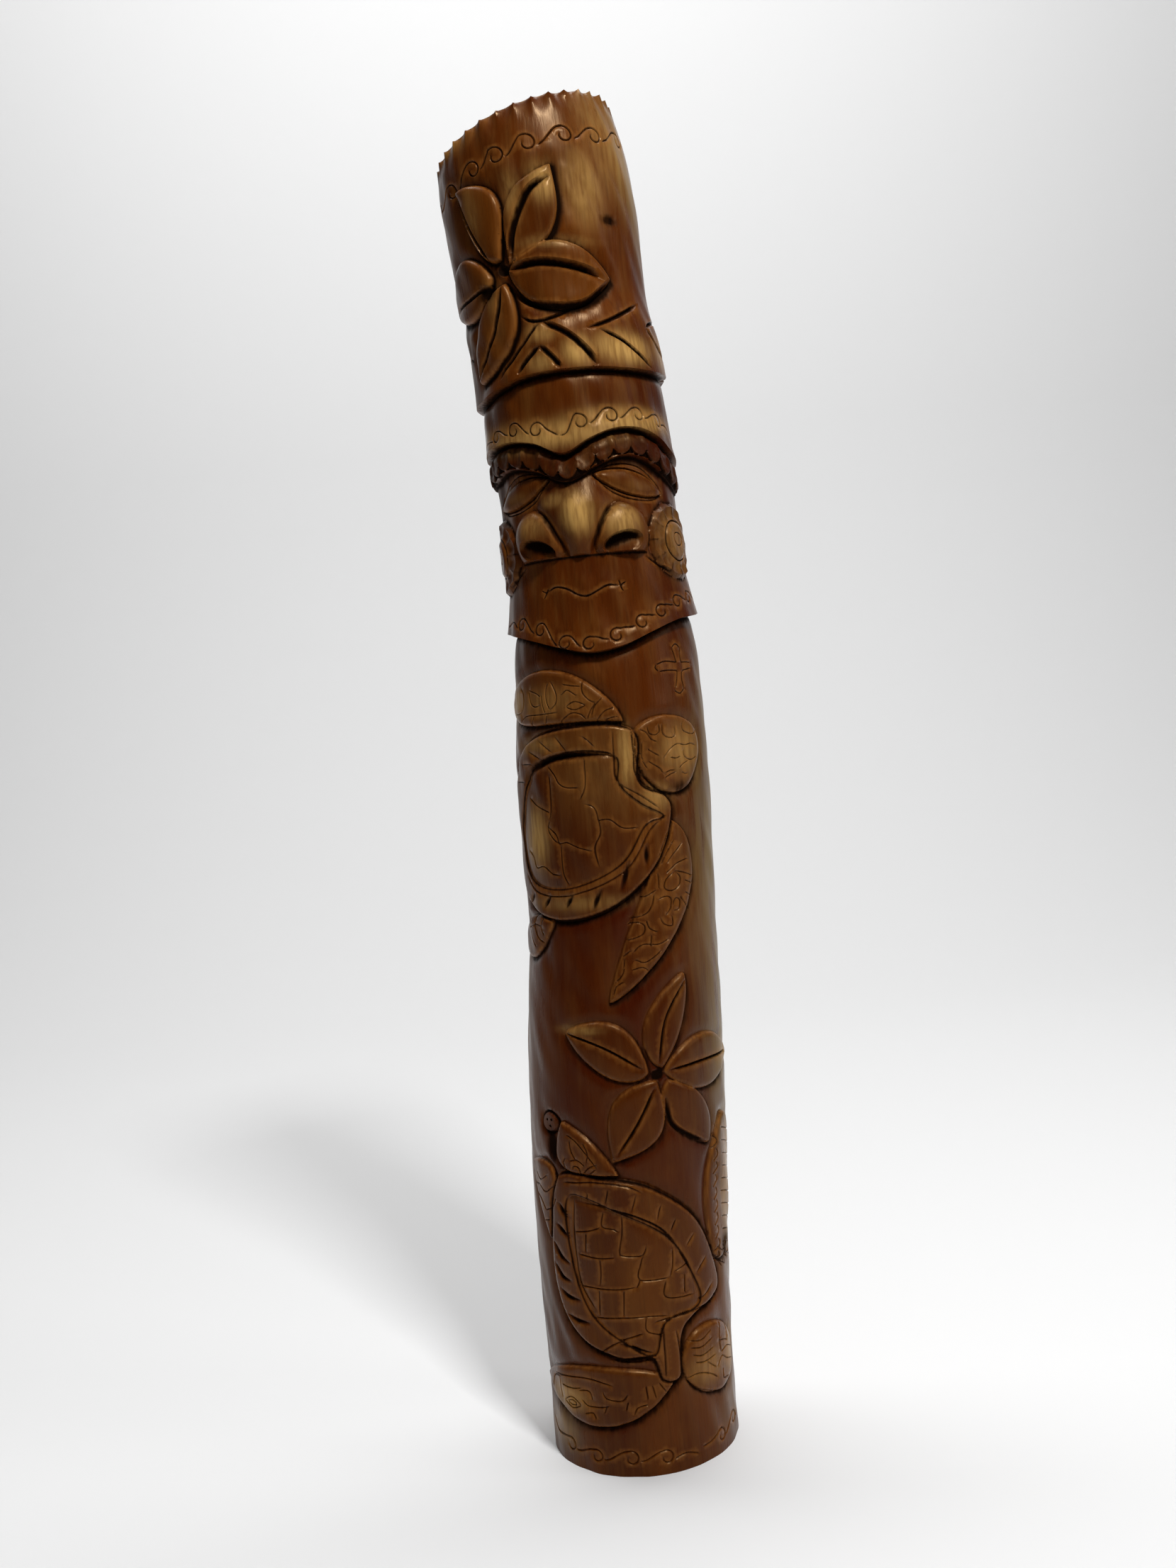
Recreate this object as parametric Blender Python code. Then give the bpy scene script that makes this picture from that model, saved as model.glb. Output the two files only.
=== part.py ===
"""Carved totem log: one bowed length of a small trunk, cut flat below and on a slant above.

The front is carved in relief, from the top down: a gouged rim, a large five-petalled flower, a belt of
folded triangles, a forehead band over scalloped brows, a mask with eyes, nose, ears and a chin skirt,
a turtle, a second flower and a second turtle. The back is the plain trunk with the same rings.

The carving is drawn on the log's unrolled surface. A point there is (across, up) in pattern
millimetres: across runs round the log from the middle of the front, positive to the right, and up is
the height above the foot. Lines run along +Z, and the carved front faces -Y.
"""

import bpy
import numpy as np

# Driving sizes, in metres.
LOG_HEIGHT = 0.920
FOOT_RADIUS = 0.0653
RELIEF_SCALE = 1.0

# The pattern was drawn for a log of this height and these radii, in millimetres. It starts a little
# below its own zero height.
PATTERN_HEIGHT = 920.0
PATTERN_START = -2.0
PATTERN_RADIUS = 60.0
PATTERN_FOOT_RADIUS = 65.3

# The carved surface is worked out on a grid this fine, then lightened to so many triangles.
ROW_HEIGHT = 1.45
COLUMNS = 300
MOST_TRIANGLES = 9800
FLAT_FOOT = 0.0005
FRONT_CROWDING = 0.45
CAP_RINGS = (0.96, 0.75, 0.45, 0.15)

# Every step in the relief slopes over this width, so that no wall overhangs.
WALL = 1.3
NOTCH_WIDTH = 6.5

# The bare trunk: height, how far its middle bows to the side, and its radius.
TRUNK = (
    (-5, 1.5, 65.4), (50, 2.1, 64.8), (100, 3.0, 66.3), (160, 4.3, 67.5), (230, 8.0, 68.7),
    (300, 11.8, 67.9), (350, 15.1, 65.7), (420, 17.4, 66.1), (480, 18.4, 66.5), (530, 19.7, 64.3),
    (580, 19.7, 62.4), (640, 17.3, 62.0), (680, 15.2, 62.8), (720, 12.4, 62.8), (757, 9.8, 64.9),
    (785, 5.7, 63.6), (805, 4.2, 64.2), (850, 0.9, 66.2), (885, -1.9, 64.8), (915, -5.0, 60.8),
    (945, -8.5, 55.5),
)

# The slanted top cut: its height over the foot's middle, and its rise to the right and to the front.
TOP_CUT_HEIGHT = 902.6
TOP_CUT_RISE_RIGHT = 0.268
TOP_CUT_RISE_FRONT = 0.06

# The gouged rim.
RIM_SCALLOPS = 32
SCALLOP_DEPTH = 2.4
SCALLOP_LENGTH = 15.0
SCALLOP_DIP = 1.8

# Rings carved round the log. Each is a line of (across, up) points that closes on itself.
BELT_EDGE = (
    (-150, 727), (-95, 724), (-75, 724.5), (-60, 726), (-45, 728.5), (-28, 731), (0, 732),
    (55, 732), (75, 733), (95, 735.5), (125, 732),
)
BROW_LIP = (
    (-150, 686), (-112, 688), (-92, 690), (-70, 692), (-50, 692), (-30, 687.5), (-12, 678.5),
    (5, 686.5), (20, 692), (34, 693.5), (50, 690.5), (66, 683.5), (80, 678), (94, 675), (125, 679),
)
BROW_FOOT = (
    (-150, 668), (-112, 668), (-92, 670), (-72, 673), (-55, 675), (-34, 670.5), (-11, 660.5),
    (8, 669.5), (28, 675.5), (48, 671.5), (66, 662), (80, 657), (94, 655), (125, 661),
)
CHIN_EDGE = (
    (-150, 573), (-110, 571), (-90, 568.5), (-70, 565), (-50, 560), (-30, 553.5), (-10, 548.5),
    (10, 551), (30, 559), (50, 566), (75, 569.5), (95, 572), (120, 573),
)

# The mask's middle line, and the parts of its face.
FACE_MIDDLE = -10.5
NOSE_FOOT = 611.5
NOSE_RIDGE = ((600, 0), (611, 3.0), (620, 6.8), (632, 9.4), (643, 10.6), (651, 8.8), (661, 4.6), (673, 0))
NOSE_FOLD = ((31, 646), (22, 641), (16.5, 633), (12.5, 624), (7, 612))
EYE_OFFSET, EYE_HEIGHT, EYE_LENGTH, EYE_SLANT = 42.0, 657.5, 55.0, 13.0
EYE_UPPER, EYE_LOWER = 8.5, 8.5
EAR_OFFSET, EAR_HEIGHT, EAR_RADIUS = 74.5, 619.5, 26.0
EAR_PETALS = 12

# Leaf shapes make the flowers' petals and the turtles' limbs. Each has a base and a tip, how far it
# swells to the left and to the right of the line between them, where along that line each swell is
# widest, and how blunt its ends are: 1 is sharp and 0.5 is round.
SHARP, POINTED, ROUND = 1.0, 0.75, 0.5
LARGE_PETALS = (
    ((-31, 808), (-56, 859), 9.3, 20.9, 0.30, 0.60, POINTED),
    ((-25, 804), (9, 863), 15.0, 16.5, 0.54, 0.46, SHARP),
    ((-26, 799), (38, 790), 20.1, 23.8, 0.49, 0.45, POINTED),
    ((-31, 792), (-67, 735), 17.9, 12.2, 0.47, 0.51, POINTED),
    ((-40, 798), (-95, 788), 16.2, 22.5, 0.45, 0.43, POINTED),
)
LARGE_HEART_HOLES = ((-30, 801, 4.5, 3.0), (-44, 789, 5.0, 2.6))

# V cuts are a line of points, a width and a depth.
LARGE_PETAL_CUTS = (
    (((-38, 807), (-48, 830), (-55, 856)), 2.5, 1.6),
    (((-23, 804), (-19, 823), (-6, 846), (7, 854.5)), 5.5, 4.0),
    (((-26, 799.5), (-5, 801), (18, 796), (30, 790.5)), 7.0, 4.6),
    (((-27, 791), (-18, 778), (3, 772), (20, 775), (38, 789)), 5.5, 3.4),
    (((-33, 793), (-38, 775), (-50, 755), (-66, 738)), 4.0, 2.2),
    (((-38, 793), (-60, 790), (-90, 789)), 3.5, 1.8),
)

# Folded triangles on the belt: straight V cuts with a width and a depth.
BELT_CUTS = (
    (((-33, 733), (-26, 740), (-16, 748.5)), 3.6, 2.6),
    (((-16, 748.5), (-10, 741), (-5, 733)), 4.6, 3.4),
    (((-48, 733), (-30, 748), (-13, 764)), 3.0, 1.8),
    (((-13, 764.5), (1, 755), (11, 744), (17, 733)), 5.6, 3.8),
    (((-25, 770), (-17, 764.5), (-4, 766), (9, 771)), 3.2, 2.0),
    (((14, 757), (30, 762.5), (60, 777)), 3.4, 2.4),
    (((22, 757), (40, 747.5), (59, 734)), 3.2, 2.2),
    (((62, 762), (74, 752), (92, 745)), 5.0, 3.0),
    (((62, 762), (76, 768), (95, 772)), 3.4, 2.2),
    (((-96, 758), (-87, 757), (-77, 753)), 3.0, 1.8),
)
BACK_CHEVRONS = (118, 163, -168, -123)

# Small flower between the turtles.
SMALL_PETALS = (
    ((11, 269), (-39, 298), 11.7, 19.5, 0.36, 0.54, POINTED),
    ((20, 272), (37, 331), 17.1, 6.5, 0.42, 0.53, POINTED),
    ((22, 269), (84, 268), 19.1, 16.8, 0.47, 0.50, POINTED),
    ((24, 262), (53, 214), 12.6, 14.0, 0.54, 0.40, POINTED),
    ((16, 263), (-11, 212), 17.8, 16.4, 0.51, 0.41, SHARP),
)
SMALL_HEART_HOLES = ((17, 267, 4.5, 2.0),)
SMALL_PETAL_CUTS = (
    (((8, 272), (-14, 288), (-38, 298)), 2.4, 1.5),
    (((18, 275), (23, 303), (37, 327)), 2.4, 1.3),
    (((24, 269), (50, 270), (82, 268.5)), 3.0, 2.0),
    (((21, 252), (26, 232), (51, 213)), 3.4, 2.2),
    (((15, 259), (4, 236), (-8, 216)), 2.6, 1.6),
)

# Turtles: the leaf shapes of their limbs, and the outer and inner line of each shell's rim.
UPPER_TURTLE_LIMBS = (
    ((6, 502), (-95, 520), 10.2, 28.0, 0.73, 0.48, POINTED),
    ((16, 470), (61, 491), 25.1, 27.1, 0.34, 0.41, ROUND),
    ((34, 433), (-10, 318), 28.5, 3.8, 0.37, 0.63, POINTED),
    ((-49, 371), (-92, 354), 14.4, 11.5, 0.64, 0.55, ROUND),
)
UPPER_SHELL = (
    (12, 495), (-30, 500), (-68, 489), (-87, 458), (-91, 415), (-78, 386), (-45, 372.5), (-8, 379.5),
    (21, 404), (34, 436), (31, 450), (14, 461),
)
UPPER_PLATES = (
    (0, 480), (-30, 484), (-58, 472), (-75, 440), (-76, 412), (-60, 396), (-30, 394.5), (0, 408),
    (16, 432), (28, 437), (14, 447), (2, 461),
)
LOWER_TURTLE_LIMBS = (
    ((-9, 203), (-44, 237), 21.7, 4.6, 0.62, 0.55, POINTED),
    ((-56, 152), (-80, 204), 2.6, 24.3, 0.50, 0.77, ROUND),
    ((63, 130), (76, 227), 19.0, 22.8, 0.54, 0.46, ROUND),
    ((19, 61), (-86, 51), 25.6, 14.4, 0.48, 0.48, POINTED),
    ((33, 85), (73, 45), 21.6, 23.0, 0.49, 0.44, ROUND),
)
LOWER_SHELL = (
    (-48, 200), (-20, 201), (8, 194), (36, 171), (52, 143), (58, 112), (34, 100), (26, 88), (24, 62),
    (12, 62), (6, 78), (-15, 79), (-42, 94), (-56, 122), (-57, 160),
)
LOWER_PLATES = (
    (-40, 188), (-8, 178), (20, 158), (35, 130), (40, 108), (16, 101), (8, 80), (-10, 90), (-30, 110),
    (-40, 145),
)

WOOD_COLOR = (0.20, 0.075, 0.022, 1.0)
WOOD_ROUGHNESS = 0.38


def clear_scene():
    for old in list(bpy.data.objects):
        bpy.data.objects.remove(old, do_unlink=True)


def smooth_through(knots, values, at):
    """Values along a smooth line through the knots, which rise in order."""
    knots = np.asarray(knots, float)
    values = np.asarray(values, float)
    slopes = np.gradient(values, knots)
    low = np.clip(np.searchsorted(knots, at) - 1, 0, len(knots) - 2)
    span = knots[low + 1] - knots[low]
    t = np.clip((at - knots[low]) / span, 0, 1)
    rise = t * t * (3 - 2 * t)
    leave = t * (1 - t) ** 2 * span * slopes[low]
    arrive = t * t * (t - 1) * span * slopes[low + 1]
    return values[low] * (1 - rise) + values[low + 1] * rise + leave + arrive


def ring_height(ring, across):
    """Height of a ring that closes on itself, at each place round the log."""
    if len(ring) == 1:
        return np.full(across.shape, float(ring[0][1]))
    around = 2 * np.pi * PATTERN_RADIUS
    points = np.array(ring, float)
    places = np.concatenate([points[:, 0] - around, points[:, 0], points[:, 0] + around])
    return smooth_through(places, np.tile(points[:, 1], 3), across)


def curve(points, spacing=2.0, closed=False):
    """Points along the smooth curve through the given ones."""
    knots = np.array(points, float)
    if closed:
        knots = np.vstack([knots[-1:], knots, knots[:2]])
    else:
        knots = np.vstack([2 * knots[0] - knots[1], knots, 2 * knots[-1] - knots[-2]])
    traced = []
    for before, start, end, after in zip(knots, knots[1:], knots[2:], knots[3:]):
        steps = max(2, int(np.hypot(*(end - start)) / spacing))
        t = np.linspace(0, 1, steps, endpoint=False)[:, None]
        bend = (2 * before - 5 * start + 4 * end - after) * t**2
        twist = (3 * start - before - 3 * end + after) * t**3
        traced.append(start + 0.5 * ((end - before) * t + bend + twist))
    if not closed:
        traced.append(knots[-2:-1])
    return np.vstack(traced)


def loop_of(points):
    """A closed outline with no repeated end point."""
    return curve(points, closed=True)


def leaf(base, tip, left, right, left_widest, right_widest, blunt):
    """The closed outline of a leaf shape, from its base to its tip and back."""
    base, tip = np.array(base, float), np.array(tip, float)
    length = np.hypot(*(tip - base))
    beside = np.array([base[1] - tip[1], tip[0] - base[0]]) / length
    share = 0.5 - 0.5 * np.cos(np.linspace(0, np.pi, 25))
    edges = []
    for swell, widest in ((left, left_widest), (-right, right_widest)):
        turn = np.pi * share ** (np.log(0.5) / np.log(widest))
        bulge = swell * np.clip(np.sin(turn), 0, 1) ** blunt
        edges.append(base + share[:, None] * (tip - base) + bulge[:, None] * beside)
    return np.vstack([edges[0], edges[1][-2:0:-1]])


def closed(outline):
    return np.vstack([outline, outline[:1]])


def falloff(distance, reach):
    """One at no distance, easing to nothing at the reach."""
    return np.clip(1 - distance / reach, 0, 1) ** 2


def smooth_step(x, low, high):
    t = np.clip((x - low) / (high - low), 0, 1)
    return t * t * (3 - 2 * t)


def path_distance(across, up, path):
    """Distance from each point to the path, and the share of the path's length at the nearest place."""
    runs = np.diff(path, axis=0)
    lengths = np.hypot(runs[:, 0], runs[:, 1])
    starts = np.concatenate([[0], np.cumsum(lengths)[:-1]])
    nearest = np.full(across.shape, np.inf)
    share = np.zeros(across.shape)
    for corner, run, length, begun in zip(path, runs, lengths, starts):
        if length == 0:
            continue
        t = ((across - corner[0]) * run[0] + (up - corner[1]) * run[1]) / length**2
        t = np.clip(t, 0, 1)
        away = np.hypot(across - corner[0] - t * run[0], up - corner[1] - t * run[1])
        closer = away < nearest
        nearest = np.where(closer, away, nearest)
        share = np.where(closer, (begun + t * length) / lengths.sum(), share)
    return nearest, share


def is_inside(across, up, outline):
    """Whether each point lies within the closed outline."""
    within = np.zeros(across.shape, bool)
    for start, end in zip(outline, np.roll(outline, -1, axis=0)):
        if start[1] == end[1]:
            continue
        spans = (start[1] > up) != (end[1] > up)
        crossing = start[0] + (up - start[1]) * (end[0] - start[0]) / (end[1] - start[1])
        within ^= spans & (across < crossing)
    return within


class Carving:
    """Relief over points of the unrolled surface.

    form stands proud or is scooped, ground is the wood cut back round the motifs, and cut is the depth
    of V cuts and holes.
    """

    def __init__(self, across, up):
        self.across, self.up = across, up
        self.form = np.zeros(across.shape)
        self.ground = np.zeros(across.shape)
        self.cut = np.zeros(across.shape)

    def near(self, path, reach):
        """Indices of the points in the path's surroundings, and their places."""
        low, high = path.min(axis=0) - reach, path.max(axis=0) + reach
        wide = (self.across > low[0]) & (self.across < high[0])
        found = np.nonzero(wide & (self.up > low[1]) & (self.up < high[1]))[0]
        return found, self.across[found], self.up[found]

    def groove(self, path, width, depth, taper=0.18):
        """A V cut along the path that runs out to nothing at its ends."""
        found, across, up = self.near(path, width)
        away, share = path_distance(across, up, path)
        fade = np.clip(np.minimum(share, 1 - share) / taper, 0, 1) ** 0.6
        half = width / 2 * (0.4 + 0.6 * fade)
        self.cut[found] = np.maximum(self.cut[found], depth * fade * np.clip(1 - away / half, 0, 1))

    def lower_ground(self, outlines, depth, apron):
        """Cuts the ground back round the outlines, deepest close against them."""
        for outline in outlines:
            found, across, up = self.near(outline, WALL + apron)
            away, _ = path_distance(across, up, closed(outline))
            free = np.ones(across.shape, bool)
            for other in outlines:
                free &= ~is_inside(across, up, other)
            slope = np.clip(away / WALL, 0, 1) * falloff(np.maximum(away - WALL, 0), apron)
            self.ground[found] = np.minimum(self.ground[found], np.where(free, -depth * slope, 0))

    def crown(self, outlines, height, width):
        """Rounds the wood within the outlines, rising from their edges over the width."""
        swell = np.zeros(self.form.shape)
        for outline in outlines:
            found, across, up = self.near(outline, 0.5)
            away, _ = path_distance(across, up, closed(outline))
            rise = np.sqrt(1 - (1 - np.clip(away / width, 0, 1)) ** 2)
            swell[found] = np.maximum(swell[found], np.where(is_inside(across, up, outline), rise, 0))
        self.form += height * swell

    def hole(self, middle, radius, depth):
        """A round hollow."""
        away = np.hypot(self.across - middle[0], self.up - middle[1])
        hollow = np.clip(1 - (away / radius) ** 2, 0, 1)
        self.cut = np.maximum(self.cut, depth * hollow)


def lip(up, edge, proud, rise, sunk, drop, notch):
    """A lip round the log: wood swells to proud just above the edge and is cut back to sunk below it.

    The cut is deeper still by notch in the corner right under the lip.
    """
    over = up - edge
    wall = np.clip(1 + over / WALL, 0, 1)
    above = proud * falloff(np.maximum(over, 0), rise)
    under = np.maximum(-over - WALL, 0)
    below = sunk * falloff(under, drop) + notch * falloff(under, NOTCH_WIDTH)
    return wall * above - (1 - wall) * below


def carve_rings(carving):
    """The belt, the forehead band, the brows and the chin skirt, which run round the log."""
    across, up = carving.across, carving.up
    front = 1 - smooth_step(np.abs(across - FACE_MIDDLE), 95, 125)
    belt = ring_height(BELT_EDGE, across)
    brow_lip = ring_height(BROW_LIP, across)
    brow_foot = ring_height(BROW_FOOT, across)
    chin = ring_height(CHIN_EDGE, across)

    carving.form += lip(up, belt, 3.0, 42, 2.2, 14, 1.8 * front)
    brow = lip(up, brow_lip, 2.4, 30, 2.6 * (0.4 + 0.6 * front), 8.0, 2.6 * front)
    carving.form += np.where(up > brow_foot - WALL, brow, 0)
    carving.form += lip(up, chin, 3.6, 36, 2.6, 30, 1.4 * front)

    ridge_share = np.clip((up - brow_foot) / (brow_lip - brow_foot - 3), 0, 1)
    carving.form += 1.8 * front * np.sin(np.pi * ridge_share) ** 0.5

    under_brow = np.clip((brow_foot - up) / WALL, 0, 1)
    face = 1 - smooth_step(np.abs(across - FACE_MIDDLE), 55, 88)
    above_nose_foot = smooth_step(up, NOSE_FOOT, NOSE_FOOT + WALL)
    depth = 2.0 + (0.4 + 3.0 * face) * above_nose_foot * smooth_step(up - brow_foot, -40, 0)
    fade = smooth_step(up, 585, NOSE_FOOT)
    carving.form -= under_brow * depth * fade * (0.3 + 0.7 * front)


def bump(carving, middle, radii, height, power=0.6, tilt=0.0):
    """How far a rounded swelling rises at each point of the carving."""
    turn = np.radians(tilt)
    x, y = carving.across - middle[0], carving.up - middle[1]
    along = (x * np.cos(turn) + y * np.sin(turn)) / radii[0]
    beside = (y * np.cos(turn) - x * np.sin(turn)) / radii[1]
    return height * np.clip(1 - along**2 - beside**2, 0, 1) ** power


def carve_nose(carving):
    """A pointed bridge between two flared wings, each with a nostril scooped out under its arch."""
    across, up = carving.across, carving.up
    above_foot = np.clip((up - NOSE_FOOT) / WALL, 0, 1)
    half_width = np.clip(7 + (up - NOSE_FOOT) * 0.6, 5, 27)
    heights, proud = np.array(NOSE_RIDGE).T
    ridge = smooth_through(heights, proud, up)
    from_middle = np.abs(across - FACE_MIDDLE)
    nose = ridge * np.clip(1 - (from_middle / half_width) ** 1.4, 0, 1)
    for side in (-1, 1):
        wing = (FACE_MIDDLE + side * 29.0, 625.0)
        nose = np.maximum(nose, bump(carving, wing, (20.5, 20.0), 8.4))
        nostril = (FACE_MIDDLE + side * 28.0, 617.5)
        turn = np.radians(side * 17)
        x, y = across - nostril[0], up - nostril[1]
        along = (x * np.cos(turn) + y * np.sin(turn)) / 13.5
        beside = (y * np.cos(turn) - x * np.sin(turn)) / 7.8
        rim = np.clip((1 - along**2 - beside**2) / 0.35, 0, 1)
        scoop = rim * (4.6 + 2.6 * beside)
        carving.cut = np.maximum(carving.cut, np.clip(scoop, 0, None) * above_foot)
        fold = [(FACE_MIDDLE + side * x, y) for x, y in NOSE_FOLD]
        carving.groove(curve(fold), 4.5, 2.8, taper=0.3)
    carving.form += above_foot * nose


def carve_eyes(carving):
    """Almond eyes, each with its inner corner high and its outer corner low."""
    for side in (-1, 1):
        middle = FACE_MIDDLE + side * EYE_OFFSET
        inner = (middle - side * EYE_LENGTH / 2, EYE_HEIGHT + EYE_SLANT / 2)
        outer = (middle + side * EYE_LENGTH / 2, EYE_HEIGHT - EYE_SLANT / 2)
        if side == 1:
            eye = leaf(inner, outer, EYE_UPPER, EYE_LOWER, 0.5, 0.5, POINTED)
        else:
            eye = leaf(inner, outer, EYE_LOWER, EYE_UPPER, 0.5, 0.5, POINTED)
        carving.crown([eye], 3.4, 8.0)


def carve_ears(carving):
    """Round ear ornaments: a petalled disc with a button in its middle."""
    for side in (-1, 1):
        x = carving.across - (FACE_MIDDLE + side * EAR_OFFSET)
        y = carving.up - EAR_HEIGHT
        out = np.hypot(x, y)
        petals = np.abs(np.sin(EAR_PETALS / 2 * np.arctan2(y, x)))
        edge = EAR_RADIUS - 2.2 * (1 - petals)
        disc = 3.6 * smooth_step(edge - out, 0, 3.5)
        button = 2.0 * smooth_step(13.0 - out, 0, 2.5)
        fluting = 1.6 * (1 - petals) * smooth_step(out, 13, 22)
        ear = disc + button - np.where(out < EAR_RADIUS, fluting, 0)
        carving.form += np.clip(ear, 0, None)


def carve_flower(carving, petals, holes, crown_height, ground_depth, apron):
    """Petals that overlap nowhere, each crowned on its own, with the ground cut back round them."""
    outlines = [leaf(*petal) for petal in petals]
    carving.lower_ground(outlines, ground_depth, apron)
    carving.crown(outlines, crown_height, 7.0)
    for x, y, radius, depth in holes:
        carving.hole((x, y), radius, depth)


def carve_turtle(carving, limbs, shell, plates, ground_depth):
    """A shell whose field of plates lies sunk inside its rim, over limbs parted from it by a V cut."""
    limb_shapes = [leaf(*limb) for limb in limbs]
    rim, field = loop_of(shell), loop_of(plates)
    carving.lower_ground(limb_shapes + [rim], ground_depth, 9.0)
    carving.crown(limb_shapes + [rim], 1.3, 5.0)
    carving.groove(closed(rim), 3.0, 1.3, taper=0.01)
    carving.crown([field], -2.2, 1.4)
    carving.crown([field], 2.4, 26.0)


def carve(across, up):
    """Relief of the whole surface, in pattern millimetres, at each point of it."""
    carving = Carving(across, up)
    carve_turtle(carving, UPPER_TURTLE_LIMBS, UPPER_SHELL, UPPER_PLATES, 2.2)
    carve_turtle(carving, LOWER_TURTLE_LIMBS, LOWER_SHELL, LOWER_PLATES, 1.9)
    carve_flower(carving, SMALL_PETALS, SMALL_HEART_HOLES, 1.8, 1.6, 8.0)
    carve_flower(carving, LARGE_PETALS, LARGE_HEART_HOLES, 2.2, 2.8, 12.0)
    carve_rings(carving)
    carve_nose(carving)
    carve_eyes(carving)
    carve_ears(carving)
    for points, width, depth in LARGE_PETAL_CUTS + SMALL_PETAL_CUTS + BELT_CUTS:
        carving.groove(curve(points), width, depth)
    for middle in BACK_CHEVRONS:
        carving.groove(np.array([(middle - 20, 731), (middle, 762), (middle + 20, 731)], float), 4.0, 2.4)
    return carving.form + carving.ground - carving.cut


def top_cut(across, radius):
    """Height of the slanted top cut at a place round the log and a distance from its middle."""
    angle = across / PATTERN_RADIUS
    right, front = np.sin(angle) * radius, np.cos(angle) * radius
    return TOP_CUT_HEIGHT + TOP_CUT_RISE_RIGHT * right + TOP_CUT_RISE_FRONT * front


def scallop(across):
    """One at a gouge's middle on the rim, nothing on the crests between gouges."""
    return np.abs(np.cos(across / PATTERN_RADIUS * RIM_SCALLOPS / 2))


def place(across, up, radius):
    """Points of the log in metres, from places on the unrolled surface and distances from its middle."""
    heights, bows, _ = np.array(TRUNK).T
    angle = across / PATTERN_RADIUS
    girth = FOOT_RADIUS / PATTERN_FOOT_RADIUS
    foot = smooth_through(heights, bows, np.full(1, PATTERN_START))[0]
    middle = smooth_through(heights, bows, up) - foot
    x = (middle + radius * np.sin(angle)) * girth
    y = -radius * np.cos(angle) * girth
    z = (up - PATTERN_START) * LOG_HEIGHT / PATTERN_HEIGHT
    return np.stack([x, y, z], axis=-1)


def trunk_radius(up):
    heights, _, radii = np.array(TRUNK).T
    return smooth_through(heights, radii, up)


def surface_grid():
    """Places of the carved side, row by row from the foot to the rim.

    Columns crowd towards the front, and some rows follow the rings, so that their lips come out clean.
    """
    turn = np.linspace(-1, 1, COLUMNS, endpoint=False)
    across = (turn - FRONT_CROWDING * np.sin(np.pi * turn) / np.pi) * np.pi * PATTERN_RADIUS
    rim = top_cut(across, trunk_radius(np.full(1, TOP_CUT_HEIGHT))) - SCALLOP_DIP * scallop(across)
    lines = [np.full(COLUMNS, PATTERN_START)]
    for ring in (CHIN_EDGE, ((0, NOSE_FOOT + WALL),), BROW_FOOT, BROW_LIP, BELT_EDGE):
        edge = ring_height(ring, across)
        lines += [edge - WALL, edge]
    lines.append(rim)
    rows = []
    for low, high in zip(lines, lines[1:]):
        steps = max(1, round(float((high - low).mean()) / ROW_HEIGHT))
        share = np.linspace(0, 1, steps, endpoint=False)[:, None]
        rows.append(low + share * (high - low))
    rows.append(rim[None])
    up = np.vstack(rows)
    return np.broadcast_to(across, up.shape), up


def log_points():
    """All points of the log: the carved side, then the rings and the middle of the top cut."""
    across, up = surface_grid()
    relief = carve(across.ravel(), up.ravel()).reshape(across.shape) * RELIEF_SCALE
    below_rim = up[-1] - up
    flutes = SCALLOP_DEPTH * scallop(across) * falloff(below_rim, SCALLOP_LENGTH)
    radius = trunk_radius(up) + relief - flutes
    side = place(across, up, radius).reshape(-1, 3)
    rim_across, rim_radius = across[-1], radius[-1]
    rings = []
    for share in CAP_RINGS:
        level = top_cut(rim_across, rim_radius * share)
        rings.append(place(rim_across, level, rim_radius * share))
    middle = rings[-1].mean(axis=0, keepdims=True)
    return np.vstack([side, *rings, middle])


def log_faces(point_count):
    """Quads between neighbouring rows, a fan on the top cut's middle and one face under the foot."""
    corner = np.arange(point_count - 1).reshape(-1, COLUMNS)
    right = np.roll(corner, -1, axis=1)
    quads = np.stack([corner[:-1], right[:-1], right[1:], corner[1:]], axis=-1).reshape(-1, 4)
    fan = [(int(a), int(b), point_count - 1) for a, b in zip(corner[-1], right[-1])]
    foot = tuple(int(a) for a in corner[0][::-1])
    return [tuple(quad) for quad in quads.tolist()] + fan + [foot]


def lighten(log):
    """Merges the grid's small faces where the surface is nearly flat."""
    light = log.modifiers.new("Lighten", "DECIMATE")
    light.decimate_type = "COLLAPSE"
    light.ratio = MOST_TRIANGLES / (2.0 * len(log.data.vertices))
    graph = bpy.context.evaluated_depsgraph_get()
    mesh = bpy.data.meshes.new_from_object(log.evaluated_get(graph))
    log.modifiers.clear()
    log.data = mesh
    flatten_foot(mesh)


def flatten_foot(mesh):
    """Keeps the underside one true plane at height zero."""
    places = np.empty(len(mesh.vertices) * 3, np.float32)
    mesh.vertices.foreach_get("co", places)
    places = places.reshape(-1, 3)
    places[places[:, 2] < FLAT_FOOT, 2] = 0.0
    mesh.vertices.foreach_set("co", places.ravel())
    mesh.update()


def stained_wood():
    material = bpy.data.materials.new("stained_wood")
    material.use_nodes = True
    shader = material.node_tree.nodes["Principled BSDF"]
    shader.inputs["Base Color"].default_value = WOOD_COLOR
    shader.inputs["Roughness"].default_value = WOOD_ROUGHNESS
    shader.inputs["Metallic"].default_value = 0.0
    return material


def build_log():
    mesh = bpy.data.meshes.new("carved_log")
    points = log_points()
    mesh.from_pydata(points.tolist(), [], log_faces(len(points)))
    log = bpy.data.objects.new("carved_log", mesh)
    bpy.context.scene.collection.objects.link(log)
    lighten(log)
    log.data.materials.append(stained_wood())
    log.data.shade_smooth()
    log.data.set_sharp_from_angle(angle=np.radians(40))
    return log


def main():
    clear_scene()
    build_log()


main()
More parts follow.
